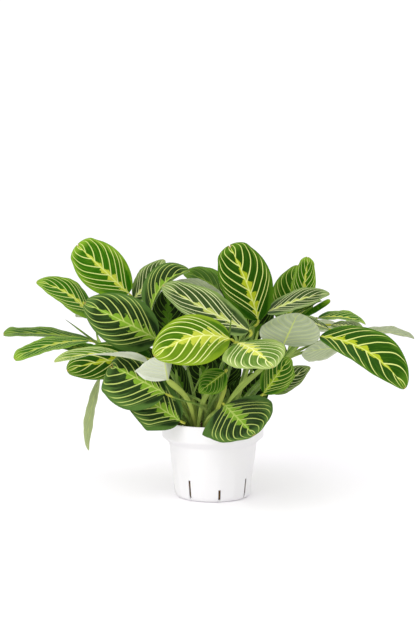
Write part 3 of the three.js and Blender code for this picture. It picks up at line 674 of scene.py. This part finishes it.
def blade_grid(blade):
    """The middle surface of a blade as a grid of u by v, with its outward normals.

    The half width is a power of a sine of u, and two bell curves may square the tip and draw one half
    out into a corner. The margin waves gently, and the midrib's end runs out into a tip that nods back,
    or is drawn in by `dent` millimetres.
    """
    u = (1 - np.cos(np.linspace(0, math.pi, BLADE_STEPS + 1))) / 2
    v = np.linspace(-1, 1, BLADE_COLUMNS + 1)
    v = np.sign(v) * np.abs(v) ** COLUMN_CROWDING
    point, tangent, side, normal = midrib(blade, u)
    chance = np.random.default_rng(sum(map(ord, blade["name"])))
    round_end = np.sin(math.pi * u ** blade["taper"]).clip(0) ** blade["blunt"]
    round_end += blade["square"] * np.exp(-((u - SQUARE_AT) / SQUARE_LENGTH) ** 2)
    width = BLADE_END * (1 - 0.75 * u ** 6) + blade["half"] * MM * round_end
    across, height = cross_section(blade, v)
    corner_side, corner_at, corner_more = blade["corner"]
    corner = corner_more * np.exp(-np.sqrt(((u - corner_at) / CORNER_LENGTH) ** 2 + 0.01))
    share = np.where(v < 0, *blade["halves"])
    wide = width[:, None] * share * (1 + corner[:, None] * (np.sign(v) == corner_side) * np.abs(v))
    waves = blade["wave"] * np.sin(4 * math.pi * u[:, None] + 0.5 * math.pi * (v > 0))
    fine_waves = chance.uniform(0.15, 0.35) * np.sin(
        (chance.uniform(5, 8) * u[:, None] + chance.uniform(0, 1) * (v > 0)) * 2 * math.pi
    ) * np.abs(v)
    ripple = (waves + fine_waves) * MM * v ** 2 * np.sin(math.pi * u)[:, None]
    nod = ((u - NOD_START) / NOD_LENGTH).clip(0) ** 2
    dent = blade["dent"] * MM
    reach = TIP_LENGTH if dent == 0 else 0
    point = point + tangent * (reach * nod)[:, None] - normal * ((NOD_DEPTH + 0.4 * dent) * nod)[:, None]
    lift = height * wide + ripple
    surface = (point[:, None] + side[:, None] * (across * wide)[..., None]
               + normal[:, None] * lift[..., None])
    near_tip = ((u - DENT_START) / DENT_LENGTH).clip(0) ** 2
    drawn_in = dent * near_tip[:, None] * np.exp(-(v / DENT_WIDTH) ** 2)
    surface -= tangent[:, None] * drawn_in[..., None]
    facing = unit(np.cross(np.gradient(surface, axis=1), np.gradient(surface, axis=0)))
    return u, v, width, surface, facing


def blade_mesh(blade):
    """Both sides of the shell, joined at the margin and at the two ends.

    The upper side sinks by a narrow bell curve over each side vein and over the midrib; underneath the
    midrib stands out by a wider one. Each section runs over the top and back underneath.
    """
    u, v, width, surface, facing = blade_grid(blade)
    phase = vein_phase(u[:, None], v, blade["slant"])
    gap = np.abs(phase - np.round(phase)) / FURROW_WIDTH
    fade = (1 - v ** 4) * np.clip(6 * u * (1 - u), 0, 1)[:, None]
    from_midrib = np.abs(v) * width[:, None] / MIDRIB_WIDTH
    rib = np.exp(-from_midrib ** 2) * (1 - 0.7 * u)[:, None]
    furrow = FURROW_DEPTH * (np.exp(-gap ** 2) * fade * np.clip(from_midrib / 2, 0, 1) + 0.8 * rib)
    thick = MARGIN_THICKNESS + (MIDDLE_THICKNESS - MARGIN_THICKNESS) * (1 - v ** 4)
    over = surface + facing * (thick / 2 - furrow)[..., None]
    under = surface - facing * (thick / 2 + 0.6 * furrow + MIDRIB_DEPTH * rib)[..., None]
    points = np.concatenate((over, under[:, ::-1]), axis=1)
    rows, columns = points.shape[:2]
    quads = grid_faces(rows, columns)
    j = np.arange(v.size - 1)
    start = np.stack((j, columns - 1 - j, columns - 2 - j, j + 1), axis=-1)
    end = start[:, ::-1] + (rows - 1) * columns
    faces = np.concatenate((quads.reshape(-1, 4), start, end))
    below = np.ones(len(faces), bool)
    below[:quads[..., 0].size] = np.tile(np.arange(columns) >= v.size - 1, rows - 1)
    chart = np.stack(np.broadcast_arrays(u[:, None], 0.5 + 0.5 * np.concatenate((v, v[::-1]))), axis=-1)
    return points.reshape(-1, 3), faces, below, chart.reshape(-1, 2)


def blade_markings():
    """A node group that reads the blade's UV map and puts out where its markings lie.

    Lines of equal `phase` are the side veins' own curves, and dividing the way to the nearest one by the
    phase's slope keeps every vein equally wide. Between two veins the band pushes one toothed lobe
    outwards, beyond it lies a dark patch that fades towards the margin, and fine ribs and long streaks
    run along the curves.
    """
    tree = bpy.data.node_groups.new("blade markings", "ShaderNodeTree")
    for name in ("Band Width", "Dark Reach"):
        tree.interface.new_socket(name, in_out="INPUT", socket_type="NodeSocketFloat")
    asked = tree.nodes.new("NodeGroupInput").outputs
    times, plus, minus, times_plus, over, power, highest = (
        partial(maths, tree, each)
        for each in ("MULTIPLY", "ADD", "SUBTRACT", "MULTIPLY_ADD", "DIVIDE", "POWER", "MAXIMUM")
    )
    chart = add_node(tree, "ShaderNodeUVMap", uv_map="blade").outputs[0]
    shown, slant = attribute(tree, "marks"), attribute(tree, "slant")
    u, across = add_node(tree, "ShaderNodeSeparateXYZ", {0: chart}).outputs[:2]
    across = times_plus(across, 2, -1)
    right = maths(tree, "GREATER_THAN", across, 0)
    v = maths(tree, "ABSOLUTE", across)
    place = object_place(tree)

    # The phase, by the formula of vein_phase, with a slow wobble towards the margin.
    bend = times(v, VEIN_LEAN)
    bend = times_plus(power(v, 2), VEIN_CURL, bend)
    bend = times_plus(power(v, 8), VEIN_HOOK, bend)
    bend = times(bend, slant)
    way = plus(minus(u, bend), VEIN_START)
    phase = power(highest(way, 0), VEIN_SPREAD)
    phase = times_plus(phase, VEINS, 0.5)
    phase = times_plus(right, VEIN_STAGGER, phase)
    wobble = times_plus(noise(tree, place, 45, 1), 0.5, -0.25)
    phase = plus(phase, times(wobble, v))
    gap = maths(tree, "PINGPONG", phase, 0.5)
    part = maths(tree, "FRACT", phase)
    marks = {"Between": ease(tree, gap, 0.06, 0.45)}

    # Side veins and midrib.
    slope = times_plus(v, 2 * VEIN_CURL, VEIN_LEAN)
    slope = times_plus(power(v, 7), 8 * VEIN_HOOK, slope)
    slope = times(times(slope, slant), HALF_LENGTHS)
    steep = maths(tree, "SQRT", times_plus(slope, slope, 1))
    rate = power(highest(way, 0.02), VEIN_SPREAD - 1)
    rate = times(times(rate, steep), VEINS * VEIN_SPREAD)
    vein_width = times(rate, ease(tree, v, 0, 0.9, 0.0085, 0.0055))
    vein = ease(tree, over(gap, vein_width), 1.35, 0.65)
    vein_end = times(ease(tree, v, 0.97, 0.84), shown)
    vein_end = times(vein_end, ease(tree, way, 0.01, 0.07))
    marks["Vein"] = times(vein, vein_end)
    rib_width = ease(tree, u, 0, 1, 0.04, 0.016)
    marks["Midrib"] = ease(tree, over(v, rib_width), 1.1, 0.6)

    # The feathered band.
    lobe = maths(tree, "MINIMUM", over(part, 0.24), over(minus(1, part), 0.76))
    lobe = power(highest(lobe, 0), 0.75)
    length = ease(tree, noise(tree, place, 75, 1), 0.35, 0.65, 0.7, 1.15)
    teeth = times_plus(noise(tree, place, 280, 2, 0.7), 1.3, -0.65)
    outline = times_plus(times(lobe, length), 0.95, 0.1)
    outline = times_plus(teeth, times_plus(lobe, 0.8, 0.2), outline)
    reach = times(asked["Band Width"], ease(tree, u, 0.97, 0.3, 0.16, 1))
    edge = minus(v, times(reach, outline))
    marks["Band"] = times(ease(tree, edge, 0.018, -0.012), shown)

    # Streaks and ribs along the curves, and the skin's cells.
    run = add_node(tree, "ShaderNodeCombineXYZ", {0: phase, 1: times(v, 0.5), 2: right})
    marks["Streak"] = noise(tree, run.outputs[0], 5.5, 3, 0.6)
    ribs = maths(tree, "SINE", times(phase, 2 * math.pi * 7))
    marks["Rib"] = times_plus(over(ribs, steep), 0.9, 0.5)
    marks["Cell"] = noise(tree, place, 1400, 2, 0.6)

    # Dark patches, lifted by the faded attribute (painted light on one half of the bright leaf), and the dry
    # tip.
    light_line = ease(tree, maths(tree, "ABSOLUTE", minus(part, 0.4)), 0.16, 0.0)
    cloudy = times_plus(marks["Streak"], 0.6, -0.3)
    way = plus(plus(v, cloudy), times(light_line, 0.14))
    way = over(way, asked["Dark Reach"])
    dark = times(ease(tree, way, 1.2, 0.78), ease(tree, u, 0.99, 0.86))
    kept = minus(1, attribute(tree, "faded"))
    marks["Dark"] = times(dark, kept)
    marks["Tip"] = times(ease(tree, u, 0.985, 0.998), ease(tree, v, 0.5, 0.15))

    for name in marks:
        tree.interface.new_socket(name, in_out="OUTPUT", socket_type="NodeSocketFloat")
    given = tree.nodes.new("NodeGroupOutput").inputs
    for name, value in marks.items():
        tree.links.new(value, given[name])
    return tree


markings = blade_markings()


def upper_side(name, margin, dark, band, vein, band_width, dark_reach, sheen=0.1):
    """The patterned side: margin green, dark patches, the band, then the midrib and the veins on top."""
    margin, dark, band, vein = (paint(*colour) for colour in (margin, dark, band, vein))
    made, tree, shader = new_material(name, specular_ior_level=sheen, specular_tint=(0.75, 0.95, 0.4, 1))
    sockets = {"Band Width": band_width, "Dark Reach": dark_reach}
    mark = add_node(tree, "ShaderNodeGroup", sockets, node_tree=markings).outputs
    leafy = blend_colour(tree, mark["Cell"], tuple(0.8 * c for c in band[:3]) + (1,), band)
    ground = layered(
        tree, margin,
        (mark["Dark"], 1, dark),
        (ease(tree, mark["Streak"], 0.45, 0.7), 0.3, margin),
        (ease(tree, mark["Rib"], 0.5, 1), 0.12, margin),
        (mark["Band"], 1, leafy),
        (mark["Midrib"], 0.6, vein),
        (mark["Vein"], 0.92, vein),
        (mark["Tip"], 0.7, paint(176, 140, 78)),
    )
    relief = maths(tree, "MULTIPLY_ADD", mark["Rib"], 0.25, mark["Cell"])
    relief = maths(tree, "MULTIPLY_ADD", mark["Vein"], -0.7, relief)
    rough = ease(tree, mark["Cell"], 0.2, 0.8, 0.4, 0.56)
    feed(tree, shader, ground, relief, 0.0003, 0.7, rough)
    return made


def lower_side(name, ground, line, rib):
    """The underside: dull and pale, with raised lighter veins and ribs, and the pattern faintly through."""
    ground, line, rib = (paint(*colour) for colour in (ground, line, rib))
    made, tree, shader = new_material(name, roughness=0.6, specular_ior_level=0.1)
    sockets = {"Band Width": 0.28, "Dark Reach": 0.8}
    mark = add_node(tree, "ShaderNodeGroup", sockets, node_tree=markings).outputs
    tone = layered(
        tree, ground,
        (mark["Dark"], 0.2, line),
        (mark["Between"], 0.32, line),
        (ease(tree, mark["Rib"], 0.5, 1), 0.35, line),
        (ease(tree, mark["Streak"], 0.4, 0.65), 0.4, line),
        (mark["Vein"], 0.5, rib),
        (mark["Midrib"], 1, rib),
    )
    relief = maths(tree, "MULTIPLY_ADD", mark["Rib"], 0.5, mark["Cell"])
    relief = maths(tree, "MULTIPLY_ADD", mark["Vein"], 0.8, relief)
    feed(tree, shader, tone, relief, 0.0003, 0.7)
    return made


# The margin, the dark patches, the band and the veins as screen colours; then how wide the band is and
# how far the dark patches reach, as shares of the half width, and the sheen.
UPPER_SIDES = {key: upper_side(*row) for key, *row in (
    ("lime", "lime leaf", (116, 154, 36), (36, 94, 1), (194, 204, 68), (216, 226, 134), 0.22, 0.85),
    ("bright", "bright leaf", (128, 156, 34), (58, 100, 4), (188, 198, 66), (232, 238, 154), 0.36, 0.85),
    ("cream", "creamy leaf", (150, 172, 92), (82, 118, 34), (212, 218, 92), (234, 238, 178), 0.3, 0.8),
    ("mid", "green leaf", (92, 130, 34), (34, 80, 4), (140, 170, 38), (196, 208, 110), 0.25, 0.8),
    ("dark", "dark leaf", (72, 104, 44), (14, 38, 8), (124, 164, 44), (186, 202, 108), 0.33, 0.76, 0.2),
    ("gold", "dark leaf with a gold band", (74, 114, 22), (26, 68, 1), (172, 186, 40), (216, 224, 130),
     0.24, 0.9),
    ("grey", "grey leaf", (114, 138, 72), (34, 58, 20), (182, 194, 96), (216, 222, 164), 0.2, 0.8, 0.18),
    ("plain", "plain leaf", (78, 116, 22), (42, 76, 6), (104, 140, 28), (150, 170, 80), 0.2, 0.75, 0.2),
    # The shaded finish is the leaf colours darkened: painted shade for leaves that lie deep in the plant.
    ("shade", "shaded leaf", (40, 66, 20), (12, 26, 6), (72, 112, 22), (84, 116, 40), 0.42, 0.9),
)}
LOWER_SIDES = {key: lower_side(*row) for key, *row in (
    ("grey", "leaf underside", (192, 200, 170), (138, 156, 112), (196, 210, 118)),
    ("white", "pale leaf underside", (226, 230, 212), (192, 202, 172), (204, 214, 140)),
    ("green", "green leaf underside", (200, 212, 156), (150, 172, 110), (206, 220, 122)),
)}


def add_blade(blade):
    """Makes one blade, with its upper side in one finish and its underside in another."""
    points, faces, below, chart = blade_mesh(blade)
    finish = [UPPER_SIDES[blade["finish"]], LOWER_SIDES[blade["under"]]]
    made = add_piece("blade_" + blade["name"], points, faces.tolist(), finish, smooth_under=60)
    made.data.polygons.foreach_set("material_index", below.astype(np.int32))
    add_chart(made, "blade", chart)
    for key in ("marks", "slant"):
        add_attribute(made, key, np.full(len(points), float(blade[key])))
    # How far the dark patches are lifted on each half: on the bright leaf, painted light on one half.
    add_attribute(made, "faded", np.where(chart[:, 1] < 0.5, *blade["faded"]))
    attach(made, "root")
    return made


for blade in LEAVES:
    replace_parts(add_blade(blade), "leaf_" + blade["name"])
# Every inner leaf takes the shaded finish: painted shade deep in the plant.
for blade in INNER_LEAVES:
    add_blade(dict(blade, finish="shade"))


# ---- Shoots ---------------------------------------------------------------------------------------
# The shoots are soft green stems, each with the stalks of its leaves grown from it. A stalk starts as
# a pale flattened sheath round the stem, then is round, and ends in a yellow swollen joint.

STEM_STEPS, STEM_SIDES = 40, 14
STALK_STEPS, STALK_SIDES = 28, 12
SPEAR_SIDES = 10
STEM_RADII = (2.9 * MM, 2.0 * MM)
STALK_RADIUS = 1.15 * MM
SHEATH_HALF_WIDTH = 1.9 * MM
SHEATH_FULL, SHEATH_PART = 0.25, 0.5
JOINT_RADIUS = 1.55 * MM
JOINT_LENGTH = 9 * MM
JOINT_RISE = 3 * MM
NECK_LENGTH = 1.5 * MM
NECK_SHARE = 0.35
BROWN_PART = 0.3
STALK_REACH = 0.4
STALK_GAP = 0.35 * MM
JOINED_DEPTH = 0.03
THIN_SPEARS = {"far_left": (0.9, (-180, -25, 223)), "front_middle": (0.8, (22.5, -106, 240))}
SPEAR_WIDTHS = (1.0 * MM, 1.5 * MM, 1.1 * MM, 0.25 * MM)
ROLLED_LEAF = dict(shoot="far_right", at=0.9, base=(115, 24, 222), tip=(146, 16, 243))


def stem_at(knots, t):
    """Points of a smooth curve through the knots, at `t` from 0 to 1, each span taking an equal share.

    Every span is a cubic whose end slopes come from its neighbours, weighted by the root of the spans'
    lengths; past the ends the first and last spans are mirrored.
    """
    knots = np.array(knots, float) * MM
    knots = np.concatenate(([2 * knots[0] - knots[1]], knots, [2 * knots[-1] - knots[-2]]))
    span = np.clip((np.asarray(t) * (len(knots) - 3)).astype(int), 0, len(knots) - 4)
    w = (np.asarray(t) * (len(knots) - 3) - span)[:, None]
    a, b, c, d = (knots[span + k] for k in range(4))
    ab, bc, cd = (np.sqrt(np.linalg.norm(q - p, axis=1))[:, None] for p, q in ((a, b), (b, c), (c, d)))
    leave = ((b - a) / ab - (c - a) / (ab + bc) + (c - b) / bc) * bc
    arrive = ((c - b) / bc - (d - b) / (bc + cd) + (d - c) / cd) * bc
    return (b + leave * w + (3 * (c - b) - 2 * leave - arrive) * w ** 2
            + (2 * (b - c) + leave + arrive) * w ** 3)


def stalk_path(knots, at, end, direction):
    """A cubic from the stem to a leaf: it leaves along the stem and arrives along the midrib."""
    near = stem_at(knots, np.array((at - 1e-4, at, at + 1e-4)).clip(0, 1))
    start, leaving = near[1], unit(near[2] - near[0])
    reach = STALK_REACH * np.linalg.norm(end - start)
    w = np.linspace(0, 1, STALK_STEPS)[:, None]
    return (start * (1 - w) ** 3 + 3 * (start + leaving * reach) * w * (1 - w) ** 2
            + 3 * (end - direction * reach) * w ** 2 * (1 - w) + end * w ** 3)


def carried(path, half_width, half_depth, sides, pale=0, yellow=0, low=0):
    """An oval carried along a path, `half_width` across and `half_depth` towards the front at each point.

    The oval stands square to the path, and its two ends are closed. Each point has five marks: how pale,
    how yellow and how brown the stem is there, and its chart, the shares of the way round and along.
    """
    tangent = unit(np.gradient(path, axis=0))
    across = unit(np.cross(tangent, (0, -1, 0)))
    depth = np.cross(across, tangent)
    angle = np.linspace(0, 2 * math.pi, sides, endpoint=False)
    points = (path[:, None] + across[:, None] * (half_width[:, None] * np.cos(angle))[..., None]
              + depth[:, None] * (half_depth[:, None] * np.sin(angle))[..., None])
    faces = grid_faces(len(path), sides)[..., ::-1].reshape(-1, 4)
    ends = [np.arange(sides).tolist(), ((len(path) - 1) * sides + np.arange(sides))[::-1].tolist()]
    around = (np.arange(sides) / sides)[None]
    along = [np.reshape(each, (-1, 1)) for each in (pale, yellow, low, np.linspace(0, 1, len(path)))]
    marks = np.stack(np.broadcast_arrays(*along[:3], around, along[3]), axis=-1)
    return points.reshape(-1, 3), faces.tolist() + ends, marks.reshape(-1, 5)


def smooth(x):
    """Rises smoothly from 0 to 1 as `x` does."""
    x = np.clip(x, 0, 1)
    return x * x * (3 - 2 * x)


def stalk_sizes(path):
    """The stalk's half width, half depth, paleness and yellowness along its path.

    The sheath narrows to the round stalk over its share of the way. The joint is a smooth swelling over
    the last millimetres, and narrows again to a neck under the blade.
    """
    run = np.concatenate(((0,), np.cumsum(np.linalg.norm(np.diff(path, axis=0), axis=1))))
    part = run / run[-1]
    sheath = 1 - smooth((part - SHEATH_FULL) / (SHEATH_PART - SHEATH_FULL))
    joint = smooth((run - run[-1] + JOINT_LENGTH + JOINT_RISE) / JOINT_RISE)
    neck = 1 - NECK_SHARE * smooth((run - run[-1] + NECK_LENGTH) / NECK_LENGTH)
    radius = STALK_RADIUS + (JOINT_RADIUS - STALK_RADIUS) * joint
    width = (radius + (SHEATH_HALF_WIDTH - STALK_RADIUS) * sheath) * neck
    return width, radius * neck, sheath, joint


def gather(parts):
    """Joins closed bodies into one list of points, faces and attributes."""
    points, faces, marks, count = [], [], [], 0
    for body_points, body_faces, body_marks in parts:
        points.append(body_points)
        faces += [[corner + count for corner in face] for face in body_faces]
        marks.append(body_marks)
        count += len(body_points)
    return np.concatenate(points), faces, np.concatenate(marks)


def stem_green(name):
    """Stem skin: green that is paler on sheaths, yellow at the joints and brownish at the soil, with
    long ribs that follow the stem.
    """
    made, tree, shader = new_material(name, roughness=0.42, specular_ior_level=0.2)
    place = object_place(tree)
    pale, yellow, low = (attribute(tree, name) for name in ("pale", "yellow", "low"))
    chart = add_node(tree, "ShaderNodeUVMap", uv_map="stem").outputs[0]
    ribs = noise(tree, add_node(tree, "ShaderNodeMapping", {0: chart, 3: (26, 3, 1)}).outputs[0], 1, 2)
    patch = noise(tree, place, 90, 3)
    green = layered(
        tree, paint(60, 94, 24),
        (ease(tree, patch, 0.35, 0.65), 1, paint(98, 132, 42)),
        (pale, 0.68, paint(156, 180, 88)),
        (low, 0.7, paint(74, 80, 30)),
        (ease(tree, ribs, 0.35, 0.75), 0.4, paint(176, 196, 106)),
        (yellow, 0.7, paint(184, 186, 62)),
    )
    relief = maths(tree, "ADD", ribs, maths(tree, "MULTIPLY", patch, 0.4))
    feed(tree, shader, green, relief, 0.0004, 0.6)
    return made


stem_finish = stem_green("stem skin")


def add_stems(name, parts):
    """Joins stems into one piece with the stem skin, and gives it their marks and their charts."""
    points, faces, marks = gather(parts)
    made = add_piece(name, points, faces, [stem_finish])
    for k, key in enumerate(("pale", "yellow", "low")):
        add_attribute(made, key, marks[:, k])
    add_chart(made, "stem", marks[:, 3:])
    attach(made, "root")
    return made


def stalks_of(name):
    """Where each stalk of a shoot leaves it, where it stops, and its direction there.

    A stalk stops just short of its blade, and those of the inner leaves run a little way into theirs.
    """
    found = []
    for blade in LEAVES + INNER_LEAVES:
        if blade["shoot"] == name:
            point, tangent, _, _ = midrib(blade, [0, JOINED_DEPTH])
            end = point[1] if blade in INNER_LEAVES else point[0] - tangent[0] * STALK_GAP
            found.append((blade["at"], end, tangent[0]))
    if ROLLED_LEAF["shoot"] == name:
        base, tip = (np.array(ROLLED_LEAF[end]) * MM for end in ("base", "tip"))
        found.append((ROLLED_LEAF["at"], base - unit(tip - base) * STALK_GAP, unit(tip - base)))
    return found


def add_shoot(name, knots):
    """Makes one shoot: its stem, a stalk for each leaf that it carries, and its thin spear if any."""
    run = np.linspace(0, 1, STEM_STEPS)
    radius = np.interp(run, (0, 0.9, 1), (*STEM_RADII, 0.6 * STEM_RADII[1]))
    low = np.clip(1 - run / BROWN_PART, 0, 1)
    parts = [carried(stem_at(knots, run), radius, radius, STEM_SIDES, low=low)]
    for at, end, direction in stalks_of(name):
        path = stalk_path(knots, at, end, direction)
        width, depth, pale, yellow = stalk_sizes(path)
        parts.append(carried(path, width, depth, STALK_SIDES, pale, yellow))
    if name in THIN_SPEARS:
        at, tip = THIN_SPEARS[name]
        tip = np.array(tip) * MM
        path = stalk_path(knots, at, tip, unit(tip - stem_at(knots, np.array((at,)))[0]))
        width = np.interp(np.linspace(0, 1, STALK_STEPS), (0, 0.35, 0.7, 1), SPEAR_WIDTHS)
        parts.append(carried(path, width, width, SPEAR_SIDES))
    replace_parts(add_stems("stems_" + name, parts), "shoot_" + name)


for name, knots in SHOOTS.items():
    add_shoot(name, knots)


# ---- Sheaths between the shoots --------------------------------------------------------------------
# Flattened sheaths and bare stalks fill the middle of the pot: tall ones stand between the shoots and
# end in a soft point, and short ones crowd round their feet. All of them grow out of the soil.

# How pale, how yellow and how brown each tone is.
SHEATH_TONES = {"green": (0.1, 0, 0.4), "brown": (0.2, 0.1, 0.9), "pale": (0.7, 0.15, 0),
                "cream": (1.45, 0.35, 0), "yellow": (0.5, 0.6, 0)}
TALL_SHEATHS = [
    ("green", ((-23, -26, 84), (-35, -44, 113), (-50, -62, 133)), (1.7, 1.3)),
    ("brown", ((-27, -18, 84), (-33, -30, 110), (-39, -40, 125)), (2.2, 1.6)),
    ("cream", ((-20, -22, 84), (-31, -54, 129), (-55, -83, 158)), (1.6, 4.2)),
    ("green", ((-17, -8, 84), (-24, -14, 132), (-32, -20, 165)), (2.4, 1.8)),
    ("green", ((-28, -44, 124), (-17, -52, 151), (-5, -56, 170)), (1.2, 1.0)),
    ("pale", ((-19, -34, 84), (-13, -42, 121), (-2, -50, 145)), (1.6, 4.2)),
    ("green", ((-13, -28, 84), (-4, -36, 116), (7, -42, 136)), (2.0, 2.4)),
    ("yellow", ((-6, -40, 84), (5, -54, 115), (16, -58, 147)), (2.2, 2.6)),
    ("pale", ((-1, -40, 84), (18, -54, 125), (35, -62, 147), (47, -64, 158), (68, -66, 176)),
     (1.6, 1.7, 3.9, 3.2, 2.4)),
    ("brown", ((-13, -44, 84), (-5, -54, 105), (8, -62, 117)), (1.8, 4.4)),
    ("green", ((-8, 2, 84), (-11, 4, 119), (-16, 8, 159)), (3, 2.2)),
    ("green", ((-1, 6, 84), (11, 8, 124), (23, 10, 164)), (3, 2.0)),
    ("green", ((12, 8, 84), (29, 10, 118), (43, 12, 156)), (2.8, 2.0)),
    ("green", ((-32, 2, 84), (-42, 6, 116), (-46, 12, 156)), (3, 2.0)),
    ("green", ((14, 2, 84), (38, 4, 150), (51, 6, 211)), (2, 2.6)),
    ("brown", ((-28, 10, 84), (-33, 14, 100), (-38, 18, 120)), (3.6, 3.2)),
    ("pale", ((16, -8, 84), (40, -14, 150), (56, -8, 207)), (2, 1.8)),
]
SHEATH_STEPS = 24
SHEATH_DEPTH = 1.3 * MM
SHORT_SHEATHS = 34
SHEATH_FOOT = 84
SHORT_SHEATH_REACH = 44
SHEATH_SEED = 12


def sheath(knots, widths, tone):
    """One sheath along its knots: an oval twice as wide as deep that narrows to a point in its last part."""
    run = np.linspace(0, 1, SHEATH_STEPS)
    path = stem_at(knots, run)
    point = np.sqrt(np.clip((1.02 - run) / 0.14, 0, 1))
    width = MM * np.interp(run, np.linspace(0, 1, len(widths)), widths) * point
    pale, yellow, low = SHEATH_TONES[tone]
    depth = np.minimum(0.5 * width, SHEATH_DEPTH)
    return carried(path, width, depth, STALK_SIDES, pale, yellow, low * (1 - 0.6 * run))


def short_sheaths(chance):
    """Draws short sheaths on the back two thirds of the soil, each leaning out from the middle."""
    made = []
    for _ in range(SHORT_SHEATHS):
        angle = chance.uniform(0, 2 * math.pi)
        reach = SHORT_SHEATH_REACH * math.sqrt(chance.uniform(0.02, 1))
        foot = np.array((reach * math.cos(angle), 10 + 0.75 * reach * math.sin(angle), SHEATH_FOOT))
        lean = np.array((math.cos(angle), math.sin(angle), 0)) * chance.uniform(2, 12)
        rise = np.array((0, 0, chance.uniform(22, 46)))
        knots = (foot, foot + 0.25 * lean + 0.5 * rise, foot + lean + rise)
        tone = ("green", "brown", "green", "pale")[chance.integers(4)]
        made.append(sheath(knots, (chance.uniform(2.4, 3.6), chance.uniform(1.8, 2.8)), tone))
    return made


tall = [sheath(knots, widths, tone) for tone, knots, widths in TALL_SHEATHS]
add_stems("sheaths", tall + short_sheaths(np.random.default_rng(SHEATH_SEED)))


# ---- Rolled leaves --------------------------------------------------------------------------------
# New leaves come up rolled into a tight spear. One stands on its own stalk on the right; two thin ones
# grow from the ends of the far left and the front shoots.

SPEAR_RADIUS = 3.9 * MM
ROLLED_STEPS, ROLLED_SIDES = 36, 24
ROLLED_SHARES = (0.35, 0.75, 1, 0.95, 0.75, 0.3)

base, tip = (np.array(ROLLED_LEAF[end]) * MM for end in ("base", "tip"))
run = np.linspace(0, 1, ROLLED_STEPS)
path = base + (tip - base) * run[:, None]
radius = SPEAR_RADIUS * np.interp(run, (0, 0.15, 0.4, 0.8, 0.95, 1), ROLLED_SHARES)
points, faces, rolled_marks = carried(path, radius, radius, ROLLED_SIDES)
spear = add_piece("rolled_leaf_right", points, faces, [UPPER_SIDES["lime"]])
add_chart(spear, "blade", np.column_stack((rolled_marks[:, 4], 0.55 + rolled_marks[:, 3] / 10)))
add_attribute(spear, "marks", np.zeros(len(points)))
add_attribute(spear, "faded", np.repeat(smooth((run - 0.6) / 0.35), ROLLED_SIDES))
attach(spear, "root")
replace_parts(spear, "spear_right")
